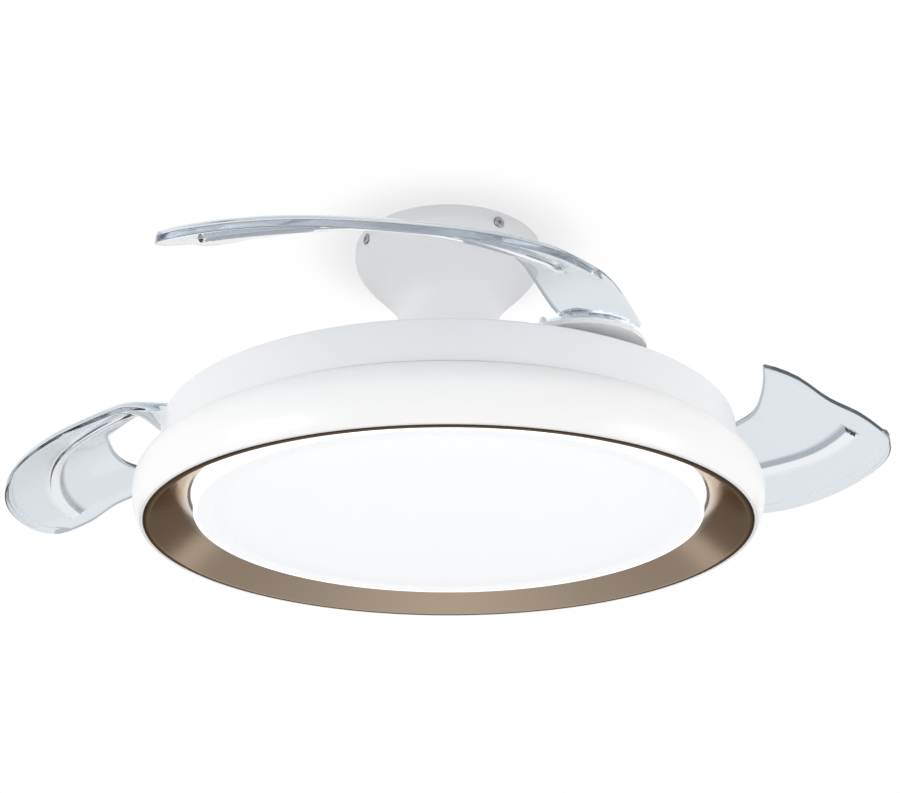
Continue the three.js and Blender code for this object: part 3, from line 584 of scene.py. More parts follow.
@dataclass(frozen=True)
class CanopyFinish(Finish):
    """White enamel that darkens towards the ceiling, where less light reaches it."""

    clear_height: float = -0.09
    ceiling_height: float = -0.01
    ceiling_shade: float = 0.8

    def dress(self, g: Graph, shader: bpy.types.Node) -> None:
        """Darkens the top."""
        share = g.ranged(g.here()["Z"], (self.clear_height, 1.0), (self.ceiling_height, self.ceiling_shade))
        g.tree.links.new(g.shaded(base_colour(shader), share), shader.inputs["Base Color"])


@dataclass(frozen=True)
class ClearFinish(Finish):
    """Clear plastic with a faint tint. Its cut edges and its rib's wall are painted grey as shade, its rib's
    crest is painted bright as a highlight, and a painted glow lifts the edges, the rib's wall and the boss's
    rim.
    """

    # Painted shade on the cut edges and the rib's wall, painted highlight on the rib's crest.
    cut_painted_shade: Colour = (118, 124, 132)
    wall_painted_shade: Colour = (112, 118, 126)
    crest_painted_highlight: Colour = (255, 255, 255)
    # Painted glow: an emission on a part that is no lamp, lifting the shaded edges, the rib's wall and the
    # boss's rim.
    cut_painted_glow: Colour = (84, 90, 98)
    wall_painted_glow: Colour = (66, 70, 76)
    rim_painted_glow: Colour = (118, 124, 130)
    bending: float = 1.22

    def dress(self, g: Graph, shader: bpy.types.Node) -> None:
        """Adds the transmission, the painted shade and highlight of the edges and the rib, and their painted
        glow.
        """
        cut, wall, crest = (g.out("ShaderNodeAttribute", result="Fac", attribute_name=m) for m in BLADE_MARKS)
        # Painted shade and highlight in the base colour.
        tint_with_painted_light = g.mixed(cut, linear(*self.colour), linear(*self.cut_painted_shade))
        tint_with_painted_light = g.mixed(wall, tint_with_painted_light, linear(*self.wall_painted_shade))
        tint_with_painted_light = g.mixed(crest, tint_with_painted_light, linear(*self.crest_painted_highlight))
        g.tree.links.new(tint_with_painted_light, shader.inputs["Base Color"])
        # Painted glow in the emission.
        light = g.mixed(cut, BLACK, linear(*self.cut_painted_glow))
        light = g.mixed(wall, light, linear(*self.wall_painted_glow))
        light = g.mixed(g.math("MULTIPLY", cut, crest), light, linear(*self.rim_painted_glow))
        g.tree.links.new(light, shader.inputs["Emission Color"])
        for name, value in (("Emission Strength", 1.0), ("Transmission Weight", 1.0), ("IOR", self.bending)):
            shader.inputs[name].default_value = value


# One white enamel in painted tones: the lower tier's copy is painted lighter as light, the upper tier's copy
# darker as shade.
SHADE_WHITE_LIT = Finish("white_enamel", (252, 252, 252), 0.38, coat=0.25, relief=0.012, variation=0.012)
TRAY_WHITE_SHADED = Finish("white_enamel", (242, 243, 245), 0.38, coat=0.25, relief=0.012, variation=0.015)
CANOPY_WHITE = CanopyFinish("white_enamel", (249, 250, 252), 0.5, relief=0.012, variation=0.015)
BRONZE = BronzeFinish(
    "bronze_finish",
    (174, 156, 137),
    0.2,
    metallic=1.0,
    turned=True,
    variation=0.06,
    grazing_tint=(231, 218, 203),
)
OPAL = OpalFinish("opal_plastic", (228, 230, 233), 0.45, relief=0.01, variation=0.01, grain_scale=600.0)
CLEAR = ClearFinish("clear_blade", (222, 228, 232), 0.06, relief=0.0, variation=0.02, grain_scale=40.0)
ZINC = Finish(
    "zinc_steel", (188, 190, 194), 0.36, metallic=0.9, grain_scale=700.0, variation=0.16, relief=0.06
)
SCREW_HEAD = Finish("bright_steel", (160, 162, 166), 0.3, metallic=1.0, variation=0.1, relief=0.04)
BRIGHT = Finish("bright_steel", (205, 207, 210), 0.24, metallic=1.0, variation=0.08, relief=0.03)
SPRING = Finish(
    "spring_steel", (168, 170, 174), 0.3, metallic=1.0, grain_scale=2600.0, variation=0.1, relief=0.08
)
CAST = Finish(
    "cast_aluminium", (186, 189, 192), 0.46, metallic=0.85, grain_scale=1500.0, variation=0.1, relief=0.2
)
CARRIER_WHITE = Finish("carrier_white", (240, 241, 242), 0.5, grain_scale=1800.0, variation=0.03, relief=0.08)
LAMINATION = Finish(
    "lamination_steel", (98, 100, 104), 0.4, metallic=0.9, turned=True, variation=0.4, relief=0.3
)
COPPER = Finish(
    "copper_wire", (184, 108, 62), 0.32, metallic=0.95, grain_scale=1200.0, variation=0.2, relief=0.1
)
MAGNET = Finish(
    "magnet_grey", (84, 86, 90), 0.55, metallic=0.4, grain_scale=2200.0, variation=0.2, relief=0.15
)
NYLON = Finish("nylon", (233, 230, 222), 0.48, grain_scale=1300.0, variation=0.03, relief=0.05)
CONTROLLER = Finish("controller_case", (216, 218, 220), 0.5, grain_scale=1500.0, variation=0.04, relief=0.2)
DRIVER = Finish("driver_case", (212, 214, 216), 0.42, relief=0.06)
BOARD = Finish("board_white", (244, 245, 240), 0.4, coat=0.2, grain_scale=500.0, variation=0.02, relief=0.03)


# --- the workshop that makes and dresses pieces


class Workshop:
    """Holds the trees and materials, makes pieces and hands them to the frame."""

    def __init__(self, frame: dict[str, Any]) -> None:
        """Builds the trees and keeps the frame's nodes."""
        self.nodes = frame["nodes"]
        self.marks = {True: marks_tree("turning_marks", True), False: marks_tree("grain", False)}
        self.turning = turned_tree()
        self.ring = ring_tree()
        self.helix = helix_tree()
        self.materials: dict[Finish, Material] = {}

    def paint(self, finish: Finish) -> Material:
        """Returns the finish's material, built the first time it is asked for."""
        if finish not in self.materials:
            self.materials[finish] = finish.material(self.marks)
        return self.materials[finish]

    def turned(self, name: str, outline: Sequence[Point], segments: int, finish: Finish) -> Obj:
        """Turns a closed outline of radius and height about Z.

        Args:
            name: Name of the object.
            outline: Points of radius and height in millimetres.
            segments: Facets round the axis.
            finish: What it is dressed in.

        Returns:
            The object, still in millimetres.
        """
        seed = mesh_of(name, [(r, 0.0, z) for r, z in outline])
        values = {"Segments": segments, "Points": len(outline), "Material": self.paint(finish)}
        return tidied(grown(name, seed, self.turning, values))

    def repeated(
        self, name: str, piece: Mesh, count: int, radius: float, finish: Finish, **place: Any
    ) -> Obj:
        """Repeats a piece round a circle.

        Args:
            name: Name of the object.
            piece: The piece, drawn at the circle's first point with +X outwards.
            count: How many there are.
            radius: The circle's radius in millimetres.
            finish: What they are dressed in.
            place: first (degrees) and centre (three numbers) where they aren't nought.

        Returns:
            The object, still in millimetres.
        """
        values = {"Count": count, "Radius": radius, "First Angle": math.radians(place.get("first", 0.0))}
        values |= {"Centre": place.get("centre", (0.0, 0.0, 0.0)), "Material": self.paint(finish)}
        return tidied(grown(name, piece, self.ring, values))

    def hand_over(self, obj: Obj, finish: Finish, body: Body, *stands_for: str) -> None:
        """Gives a finished piece its finish and its body, and hides the CAD nodes that it stands for."""
        obj.data.materials.clear()
        obj.data.materials.append(self.paint(finish))
        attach(obj, body.value)
        if stands_for:
            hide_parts(*stands_for)
        log.info("%s: %d faces on %s", obj.name, len(obj.data.polygons), body.value)

    def shell(
        self, name: str, outline: Sequence[Point], segments: int, finish: Finish, body: Body, node: str
    ) -> None:
        """Turns an outline and hands it over in the place of a CAD node."""
        self.hand_over(framed(self.turned(name, outline, segments, finish)), finish, body, node)

    def keep(self, finish: Finish, *names: str) -> None:
        """Leaves CAD nodes showing in a better finish."""
        for name in names:
            node = self.nodes[name]
            node.data.materials.clear()
            node.data.materials.append(self.paint(finish))
            log.info("%s: kept from the CAD", name)


# --- shared shapes


def wire_along(
    path: Sequence[Sequence[float]], radius: float, sides: int = 10
) -> tuple[list[Any], list[Any]]:
    """Sweeps a round wire along a path that lies in a plane of constant X.

    Args:
        path: Points of the wire's middle line.
        radius: The wire's radius.
        sides: Facets round the wire.

    Returns:
        The points and the faces of the closed wire.
    """
    middle = [Vector(p) for p in path]
    across = Vector((1.0, 0.0, 0.0))
    points, faces = [], []
    for i, here in enumerate(middle):
        along = (middle[min(i + 1, len(middle) - 1)] - middle[max(i - 1, 0)]).normalized()
        up = along.cross(across)
        for k in range(sides):
            turn = 2 * math.pi * k / sides
            points.append(here + (across * math.cos(turn) + up * math.sin(turn)) * radius)
    for i in range(len(middle) - 1):
        for k in range(sides):
            low, high = i * sides, (i + 1) * sides
            faces.append((low + k, low + (k + 1) % sides, high + (k + 1) % sides, high + k))
    last = (len(middle) - 1) * sides
    faces += [tuple(range(sides))[::-1], tuple(range(last, last + sides))]
    return points, faces


# --- lamp


@dataclass
class Lamp:
    """The two-tier drum with its metallic cone and its lit disc."""

    shade_radius: float = 255.0
    shade_rim_radius: float = 247.5
    bulge_height: float = 27.0
    rim_lift: float = 0.5
    wall: float = 2.5
    flange: float = 15.0
    flange_wall: float = 2.0
    tray_radius: float = 237.0
    tray_foot: float = 50.0
    tray_top: float = 83.0
    tray_shoulder: float = 3.0
    lip_width: float = 4.7
    cone_rise: float = 26.0
    cone_top: float = 212.0
    cone_wall: float = 1.8
    cone_shoulder: float = 1.2
    lip_shoulder: float = 0.7
    shelf_radius: float = 209.3
    disc_radius: float = 207.0
    disc_bottom: float = 12.5
    disc_flange: float = 6.5
    disc_rounding: float = 5.0
    disc_rings: int = 8
    shaft_hole: float = 10.3
    dome_sweep: float = 60.0
    dome_steps: int = 36
    segments: int = 192

    def shade_outside(self, height: float) -> float:
        """Returns the lower tier's outside radius at a height."""
        sweep = math.radians(self.dome_sweep)
        above = height > self.bulge_height
        rise = self.tray_foot - self.bulge_height if above else self.bulge_height - self.rim_lift
        inset = self.shade_radius - (self.tray_radius if above else self.shade_rim_radius)
        share = min(1.0, abs(height - self.bulge_height) / rise)
        turn = math.asin(share * math.sin(sweep))
        return self.shade_radius - inset * (1 - math.cos(turn)) / (1 - math.cos(sweep))

    def shade_outline(self) -> list[Point]:
        """Returns the lower tier's outline: a dome from the crease to the rim and an inner flange."""
        wall_top = self.tray_foot - self.wall
        rise = self.tray_foot - self.rim_lift
        levels = [self.rim_lift + rise * i / self.dome_steps for i in range(self.dome_steps + 1)]
        outside = [(self.shade_outside(height), height) for height in levels]
        inside = [(r - self.wall, h) for r, h in reversed(outside[:-3]) if h < wall_top]
        inner = self.tray_radius - self.flange
        return [*outside, (inner, self.tray_foot), (inner, wall_top), *inside]

    def tray_outline(self) -> list[Point]:
        """Returns the upper tier's outline: an upside-down pan with a flange at its foot."""
        foot, face = self.tray_foot + SEAT_GAP, self.tray_top - self.wall
        inner, flange = self.tray_radius - self.wall, self.tray_radius - self.flange
        inside = [(self.shaft_hole, face), (inner, face, 2.0), (inner, foot + self.flange_wall, 1.0)]
        below = [(flange, foot + self.flange_wall, 0.6), (flange, foot, 0.6), (self.tray_radius, foot, 0.5)]
        outside = [(self.tray_radius, self.tray_top, self.tray_shoulder), (self.shaft_hole, self.tray_top)]
        return filleted([*inside, *below, *outside], steps=6)

    def trim_outline(self) -> list[Point]:
        """Returns the metallic cone's outline: a lip, the cone and a shelf for the disc."""
        edge = self.shade_rim_radius - self.wall - SEAT_GAP
        outer, top = self.cone_top + self.cone_wall + self.cone_shoulder, self.cone_rise + self.cone_wall
        lip_top = self.cone_wall + self.lip_shoulder
        lip = [(edge - self.lip_width, 0, 0.9), (edge, 0, 0.9), (edge, lip_top, 0.5)]
        shelf, rise = self.shelf_radius, self.cone_rise
        back = [(outer, top, 0.5), (shelf, top, 0.3), (shelf, rise, 0.5), (self.cone_top, rise, 0.6)]
        return filleted([*lip, *back])

    def disc_outline(self) -> list[Point]:
        """Returns the lit disc's outline: a shallow cup with a rounded edge and a flange."""
        foot = self.cone_rise + self.cone_wall + SEAT_GAP
        inside, flange = self.disc_radius - self.wall, self.disc_radius + self.disc_flange
        cup = [(self.disc_radius, self.disc_bottom, self.disc_rounding), (self.disc_radius, foot, 0.6)]
        rim = [(flange, foot, 0.5), (flange, foot + self.wall, 0.5), (inside, foot + self.wall, 0.6)]
        body = filleted([*cup, *rim, (inside, self.disc_bottom + self.wall, 3.0)], steps=6)
        rings = range(self.disc_rings)
        lower = [(self.disc_radius * k / self.disc_rings, self.disc_bottom) for k in rings]
        upper = [(inside * k / self.disc_rings, self.disc_bottom + self.wall) for k in reversed(rings)]
        return [*lower, *body, *upper]

    def build(self, shop: Workshop) -> None:
        """Makes the lamp's pieces."""
        for name, outline, finish, node in (
            ("lamp_tray_shell", self.tray_outline(), TRAY_WHITE_SHADED, "lamp_tray"),
            ("shade_dome", self.shade_outline(), SHADE_WHITE_LIT, "shade_ring"),
            ("trim_cone", self.trim_outline(), BRONZE, "trim_ring"),
            ("diffuser_disc", self.disc_outline(), OPAL, "diffuser"),
        ):
            shop.shell(name, outline, self.segments, finish, Body.CEILING, node)
        shop.keep(BOARD, "led_board")
        shop.keep(DRIVER, "led_driver")
        shop.keep(ZINC, "shade_screw_1", "shade_screw_2", "shade_screw_3")


# --- mounting


@dataclass
class Mounting:
    """Ceiling plate, canopy and the hollow shaft."""

    canopy_radius: float = 83.0
    neck_radius: float = 44.0
    bell_top: float = 259.0
    bell_foot: float = 199.0
    foot: float = 158.0
    top: float = 267.5
    wall: float = 2.2
    floor_bore: float = 11.0
    screw_height: float = 257.0
    screw_angle: float = 31.0
    screw_head: float = 4.6
    screw_rise: float = 1.9
    screw_shank: float = 1.9
    screw_length: float = 7.0
    screw_play: float = 0.3
    screw_recess: float = 1.2
    recess_radius: float = 5.3
    hole_reach: float = 6.0
    hole_sides: int = 40
    screw_sides: int = 48
    slit_sizes: tuple[Point, ...] = ((1.2, 0.6), (4.4, 1.0), (4.8, 1.1))
    slit_levels: tuple[float, ...] = (0.4, 1.7, 3.0)
    screw_count: int = 4
    below_bell: float = 8.0
    above_bell: float = 4.0
    bell_steps: int = 40
    segments: int = 128

    def bell(self, height: float) -> float:
        """Returns the canopy's outside radius at a height."""
        flare = smoothstep(height, self.bell_foot, self.bell_top)
        return self.neck_radius + (self.canopy_radius - self.neck_radius) * flare

    def canopy_outline(self) -> list[Point]:
        """Returns the canopy's outline: a bell, its neck and a closed foot round the shaft."""
        low, high = self.bell_foot - self.below_bell, self.bell_top + self.above_bell
        levels = [low + (high - low) * k / self.bell_steps for k in range(self.bell_steps + 1)]
        outside = [(self.bell(h), h) for h in levels]
        inside = [(r - self.wall, h) for r, h in reversed(outside)]
        neck = self.neck_radius
        foot_corners = [(self.floor_bore, self.foot, 0.5), (neck, self.foot, 2.5), (neck, self.bell_foot)]
        outer, inner = self.canopy_radius, self.canopy_radius - self.wall
        top_corners = [(outer, self.bell_top), (outer, self.top, 0.8)]
        top_corners += [(inner, self.top, 0.5), (inner, self.bell_top)]
        foot_round, top = filleted(foot_corners, steps=5), filleted(top_corners, steps=3)
        floor = self.foot + self.wall
        floor_edge = [(neck - self.wall, floor), (self.floor_bore, floor)]
        return [*foot_round[:-1], *outside, *top[1:-1], *inside, *floor_edge]

    def build(self, shop: Workshop) -> None:
        """Makes the mounting's pieces."""
        canopy = shop.turned("canopy_bell", self.canopy_outline(), self.segments, CANOPY_WHITE)
        seat = self.canopy_radius - self.screw_recess
        tools = []
        for i in range(self.screw_count):
            turn = Matrix.Rotation(math.radians(self.screw_angle + 360 / self.screw_count * i), 4, "Z")
            placing = turn @ Matrix.Translation((seat, 0, self.screw_height)) @ LYING
            shank = self.screw_shank + self.screw_play
            for radius, start in ((self.recess_radius, 0), (shank, -self.hole_reach)):
                ring = circle_points(radius, self.hole_sides)
                tool = stacked("hole", [ring, ring], (start, self.hole_reach))
                tool.transform(placing)
                tools.append(tool)
        combined(canopy, tools, "DIFFERENCE")
        shop.hand_over(framed(tidied(canopy)), CANOPY_WHITE, Body.CEILING, "canopy")
        place = {"first": self.screw_angle, "centre": (0.0, 0.0, self.screw_height)}
        ring = ("canopy_screw_set", self.cross_screw(shop), self.screw_count, seat + SEAT_GAP, SCREW_HEAD)
        names = [f"canopy_screw_{i + 1}" for i in range(self.screw_count)]
        shop.hand_over(framed(shop.repeated(*ring, **place)), SCREW_HEAD, Body.CEILING, *names)
        shop.keep(ZINC, "ceiling_bracket", "hollow_shaft", "shaft_top_nut", "shaft_bottom_nut")
        shop.keep(NYLON, "terminal_block")
        shop.keep(CONTROLLER, "motor_controller")

    def cross_screw(self, shop: Workshop) -> Mesh:
        """Makes a pan-head screw with a cross recess, its head pointing along +X."""
        shank, head, foot = self.screw_shank, self.screw_head, -self.screw_length
        outline = [(0.0, foot), (shank, foot, 0.3), (shank, 0.0)]
        outline += [(head, 0.0, 0.3), (head, self.screw_rise - 0.1, 1.3), (0.0, self.screw_rise)]
        screw = shop.turned("cross_screw", filleted(outline, steps=6), self.screw_sides, SCREW_HEAD)
        cross = []
        for turn in (0, 90):
            slit = stacked("slit", [box_outline(*size) for size in self.slit_sizes], self.slit_levels)
            slit.transform(Matrix.Rotation(math.radians(turn), 4, "Z"))
            cross.append(slit)
        combined(screw, cross, "DIFFERENCE")
        mesh = tidied(screw).data
        mesh.transform(LYING)
        bpy.data.objects.remove(screw)
        return mesh


# --- motor


@dataclass
class Motor:
    """The standing coils and the cup that turns round them with the blades' plate."""

    cup_floor: float = 89.8
    cup_floor_top: float = 92.8
    cup_top: float = 147.8
    cup_radius: float = 67.0
    cup_wall: float = 3.0
    cup_flange: float = 80.0
    sleeve_inner: float = 21.3
    sleeve_wall: float = 4.0
    seal_radius: float = 17.5
    cover_floor: float = 148.1
    cover_top: float = 151.1
    cover_crown: float = 1.5
    lower_bearing: float = 93.1
    upper_bearing: float = 142.8
    bearing_height: float = 8.0
    teeth: int = 12
    coil_inner: float = 29.0
    coil_outer: float = 52.0
    coil_wire: float = 0.95
    coil_apart: float = 0.5
    coil_steps: int = 14
    coil_square: float = 1.35
    segments: int = 128

    def cup_outline(self) -> list[Point]:
        """Returns the cup's outline: flange, wall, floor and the lower bearing's sleeve."""
        sleeve, sleeve_top = self.sleeve_inner + self.sleeve_wall, self.lower_bearing + self.bearing_height
        foot, floor, top = self.cup_floor, self.cup_floor_top, self.cup_top
        step, inner = floor - self.cup_wall / 2, self.cup_radius - self.cup_wall
        flange = [(self.seal_radius, foot), (self.cup_flange, foot, 0.4), (self.cup_flange, floor, 1.2)]
        outside = [(self.cup_radius, floor, 2.0), (self.cup_radius, top, 1.0)]
        inside = [(inner, top, 0.4), (inner, floor, 2.0), (sleeve, floor, 1.0), (sleeve, sleeve_top, 0.6)]
        bore = [(self.sleeve_inner, sleeve_top, 0.6), (self.sleeve_inner, step), (self.seal_radius, step)]
        return filleted([*flange, *outside, *inside, *bore])

    def cover_outline(self) -> list[Point]:
        """Returns the cover's outline with the upper bearing's sleeve."""
        sleeve, edge, top = self.sleeve_inner + self.sleeve_wall, self.cup_radius, self.cover_top
        crown = top + self.cover_crown
        face = [(self.seal_radius, top), (self.seal_radius, crown, 0.4), (edge - 4, crown, 1.5)]
        side = [(edge, top - 1, 0.8), (edge, self.cover_floor, 0.4), (sleeve, self.cover_floor, 0.8)]
        bore = [(sleeve, self.upper_bearing, 0.6), (self.sleeve_inner, self.upper_bearing, 0.4)]
        return filleted([*face, *side, *bore, (self.sleeve_inner, top)])

    def coil_heads(self, shop: Workshop, node: str, upward: bool) -> None:
        """Winds one coil head over each tooth: its wires run across the tooth and bend down at both ends."""
        low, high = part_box(node)
        foot, top = low.z / MM + OVERALL_HEIGHT, high.z / MM + OVERALL_HEIGHT
        wire, middle = self.coil_wire, (self.coil_inner + self.coil_outer) / 2
        reach = (self.coil_outer - self.coil_inner) / 2 - wire
        turns = round(reach / wire) + 1
        points: list[Any] = []
        faces: list[Any] = []
        for k in range(turns):
            offset = -reach + 2 * reach * k / (turns - 1)
            half = (middle + offset) * math.tan(math.pi / self.teeth) - wire - self.coil_apart
            rise = top - foot - 2 * wire
            path = []
            for step in range(self.coil_steps + 1):
                turn = math.pi * step / self.coil_steps
                side = math.copysign(min(1.0, abs(math.cos(turn)) * self.coil_square), math.cos(turn))
                up = min(1.0, math.sin(turn) * self.coil_square)
                path.append((offset, -half * side, foot + wire + rise * (up if upward else 1 - up)))
            made, sides = wire_along(path, wire)
            faces += [tuple(i + len(points) for i in face) for face in sides]
            points += made
        head = outward(mesh_of("coil_head", points, faces))
        ring = shop.repeated(f"coil_heads_{node}", head, self.teeth, middle, COPPER, first=180 / self.teeth)
        shop.hand_over(framed(ring), COPPER, Body.CEILING, node)

    def build(self, shop: Workshop) -> None:
        """Makes the motor's pieces."""
        shop.shell("rotor_cup_shell", self.cup_outline(), self.segments, CAST, Body.ROTOR, "rotor_cup")
        shop.shell("rotor_cover_plate", self.cover_outline(), self.segments, CAST, Body.ROTOR, "rotor_cover")
        shop.keep(CARRIER_WHITE, "blade_carrier")
        shop.keep(MAGNET, "magnet_ring")
        shop.keep(LAMINATION, "stator_core")
        for name, upward in (("winding_upper", True), ("winding_lower", False)):
            self.coil_heads(shop, name, upward)
        for race in ("inner", "outer"):
            shop.keep(BRIGHT, f"lower_bearing_{race}", f"upper_bearing_{race}")
        shop.keep(ZINC, "carrier_screw_1", "carrier_screw_2", "carrier_screw_3")


# --- blades


def curve_through(steps: Sequence[float], values: Sequence[float]) -> Callable[[float], float]:
    """Draws a centripetal curve through unequally spaced steps, as the part's source does.

    Args:
        steps: Where each value holds.
        values: The values.

    Returns:
        A function that gives the curve's value at any step.
    """
    knots = np.array(list(zip(steps, values)), float)
    padded = np.vstack([2 * knots[0] - knots[1], knots, 2 * knots[-1] - knots[-2]])
    sampled = []
    for i in range(CURVE_SAMPLES + 1):
        at = (len(knots) - 1) * i / CURVE_SAMPLES
        k = min(int(at), len(knots) - 2)
        p = padded[k : k + 4]
        gaps = [max(float(np.sum((p[j + 1] - p[j]) ** 2)) ** 0.25, 1e-4) for j in range(3)]
        in_slope = (p[1] - p[0]) / gaps[0] - (p[2] - p[0]) / (gaps[0] + gaps[1]) + (p[2] - p[1]) / gaps[1]
        out_slope = (p[2] - p[1]) / gaps[1] - (p[3] - p[1]) / (gaps[1] + gaps[2]) + (p[3] - p[2]) / gaps[2]
        m0, m1 = in_slope * gaps[1], out_slope * gaps[1]
        t = at - k
        sampled.append(
            p[1]
            + m0 * t
            + (-3 * p[1] + 3 * p[2] - 2 * m0 - m1) * t**2
            + (2 * p[1] - 2 * p[2] + m0 + m1) * t**3
        )
    line = np.array(sampled)

    def value_at(step: float) -> float:
        """Reads the curve, which runs on straight beyond its ends."""
        if step < line[0, 0]:
            slope = (line[1, 1] - line[0, 1]) / (line[1, 0] - line[0, 0])
            return float(line[0, 1] + slope * (step - line[0, 0]))
        return float(np.interp(step, line[:, 0], line[:, 1]))

    return value_at


def smoothstep(value: float, low: float, high: float) -> float:
    """Rises smoothly from nought at low to one at high."""
    share = min(max((value - low) / (high - low), 0.0), 1.0)
    return share * share * (3 - 2 * share)


@dataclass
class BladeShape:
    """One clear blade, set out closed in polar steps about the fan's axis."""

    pivot_distance: float = 190.0
    seat: float = 94.3
    boss_top: float = 99.3
    hub_radius: float = 50.0
    thickness: float = 4.0
    edge: tuple[float, ...] = (239, 237, 236, 246, 252, 252, 250, 245, 235)
    edge_steps: tuple[float, ...] = (2, 12, 24, 38, 52, 66, 80, 92, 99)
    inner: tuple[float, ...] = (194, 182, 177, 170.5, 160, 142, 129)
    inner_steps: tuple[float, ...] = (13, 25, 38, 52, 68, 86, 103.5)
    end_bow: tuple[float, ...] = (0, 3, 0.6, 1.6, 0)
    end_shares: tuple[float, ...] = (0, 25, 50, 75, 100)
    level_steps: tuple[float, ...] = (0, 20, 40, 60, 80, 104)
    levels: tuple[float, ...] = (17.1, 7.2, -1.9, -9.3, -11.3, -11.1)
    slopes: tuple[float, ...] = (0.5, 0.52, 0.54, 0.67, 0.55, 0.56)
    level_radius: float = 240.0
    root_flat: float = 45.0
    root_blend: float = 90.0
    lip_height: float = 4.0
    lip_run: float = 7.0
    rib_radius: float = 209.0
    rib_width: float = 8.0
    rib_side: float = 1.2
    rib_depth: float = 3.5
    rib_start: float = 22.0
    rib_end: float = 94.0
    tip_rounding: float = 8.0
    hook_rounding: float = 7.0
    hook_row: float = 0.3
    tip_row: float = 0.15
    edge_round: float = 1.3
    bush_hole: float = 8.3
    screw_distance: float = 19.0
    screw_hole: float = 2.1
    hole_span: Point = (80.0, 120.0)
    rows_between: tuple[int, ...] = (4, 4, 8, 2, 5, 2, 6, 3, 4, 4)
    column_runs: tuple[tuple[float, float, int], ...] = ((0, 0.84, 84), (0.842, 0.955, 46), (0.958, 1, 18))
    rib_rows: tuple[int, int, int] = (3, 4, 6)
    row_slack: float = 0.1
    rim_slack: Point = (1.5, 0.1)
    cut_full: float = 0.8
    cut_end: float = 2.2
    boss_sides: int = 96
    bush_sides: int = 48
    screw_sides: int = 24

    def height_map(self) -> Callable[[float, float], float]:
        """Returns a function that gives the lower face's height at a point given from the pivot."""
        level_at = curve_through(self.level_steps, self.levels)
        slope_at = curve_through(self.level_steps, self.slopes)

        def level(x: float, y: float) -> float:
            """Reads the height at one point."""
            from_axis = math.hypot(x + self.pivot_distance, y)
            degrees = math.degrees(math.atan2(-y, x + self.pivot_distance))
            banked = smoothstep(math.hypot(x, y), self.root_flat, self.root_blend)
            rise = level_at(degrees) + slope_at(degrees) * (self.level_radius - from_axis)
            return self.seat + banked * rise

        return level

    @staticmethod
    def drawn_back(distance: float, rounding: float) -> float:
        """Returns how far a rounded corner draws the end back at a distance from the corner's side."""
        if distance >= rounding:
            return 0.0
        return rounding - math.sqrt(rounding**2 - (rounding - distance) ** 2)

    def rows(self) -> list[Callable[[float], float]]:
        """Returns each main row's radius as a function of degrees back from the pivot."""
        outer = curve_through(self.edge_steps, self.edge)
        inner = curve_through(self.inner_steps, self.inner)
        half = self.rib_width / 2
        low, high = self.rib_radius - half - self.rib_side, self.rib_radius + half + self.rib_side
        return [
            inner,
            lambda at: inner(at) + self.hook_row * self.hook_rounding,
            lambda at: (inner(at) + low) / 2,
            lambda at: low,
            lambda at: self.rib_radius - half,
            lambda at: self.rib_radius + half,
            lambda at: high,
            lambda at: outer(at) - self.tip_rounding,
            lambda at: outer(at) - self.lip_run,
            lambda at: outer(at) - self.tip_row * self.tip_rounding,
            outer,
        ]

    def sheet(self) -> tuple[list[tuple[float, ...]], list[tuple[int, ...]], list[tuple[float, ...]]]:
        """Builds the sheet.

        Returns:
            Its points, its faces and each point's share of a cut edge, of the rib's wall and of its crest.
        """
        rows = self.rows()
        level_of = self.height_map()
        bow = curve_through(self.end_shares, self.end_bow)
        inner, outer = rows[0], rows[-1]
        last_inner, last_edge = self.inner_steps[-1], self.edge_steps[-1]
        span = outer(last_edge) - inner(last_inner)
        stations = [0.0]
        for k, count in enumerate(self.rows_between):
            stations += [k + (i + 1) / count for i in range(count)]
        columns = np.concatenate([np.linspace(*run) for run in self.column_runs])
        lower, upper, lower_marks, upper_marks = [], [], [], []
        for station in stations:
            k = min(int(station), len(rows) - 2)
            part = station - k

            def radius_at(degrees: float, k: int = k, part: float = part) -> float:
                """Reads this row's radius between its two main rows."""
                return rows[k](degrees) * (1 - part) + rows[k + 1](degrees) * part

            share = station / (len(rows) - 1)
            start = self.inner_steps[0] + (self.edge_steps[0] - self.inner_steps[0]) * share
            end_radius = radius_at(last_inner + (last_edge - last_inner) * share)
            across = (end_radius - inner(last_inner)) / span
            back = self.drawn_back(end_radius - inner(last_inner), self.hook_rounding)
            back += self.drawn_back(outer(last_edge) - end_radius, self.tip_rounding)
            end = last_inner + (last_edge - last_inner) * across + bow(100 * across)
            end -= math.degrees(back / end_radius)
            for column in columns:
                degrees = start + (end - start) * column
                radius = radius_at(degrees)
                angle = -math.radians(degrees)
                x, y = radius * math.cos(angle) - self.pivot_distance, radius * math.sin(angle)
                to_cut = min(radius - inner(degrees), math.radians(end - degrees) * radius)
                to_edge = min(to_cut, outer(degrees) - radius)
                fall = self.drawn_back(max(to_edge, 0.0), self.edge_round)
                level = level_of(x, y)
                lip = self.lip_height * smoothstep(radius, outer(degrees) - self.lip_run, outer(degrees) - 1)
                rib = self.rib_depth * self.rib_at(radius, degrees)
                lower.append((x, y, level - rib + fall))
                upper.append((x, y, level + self.thickness + lip - fall))
                # Masks for the painted shade of the cut edges and the rib's wall, and the painted highlight
                # on the crest.
                cut = 1 - smoothstep(to_cut, self.cut_full, self.cut_end)
                lower_marks.append((cut, *self.rib_marks(station, degrees)))
                upper_marks.append((cut, 0.0, 0.0))
        return lower + upper, self.sheet_faces(len(stations), len(columns)), lower_marks + upper_marks

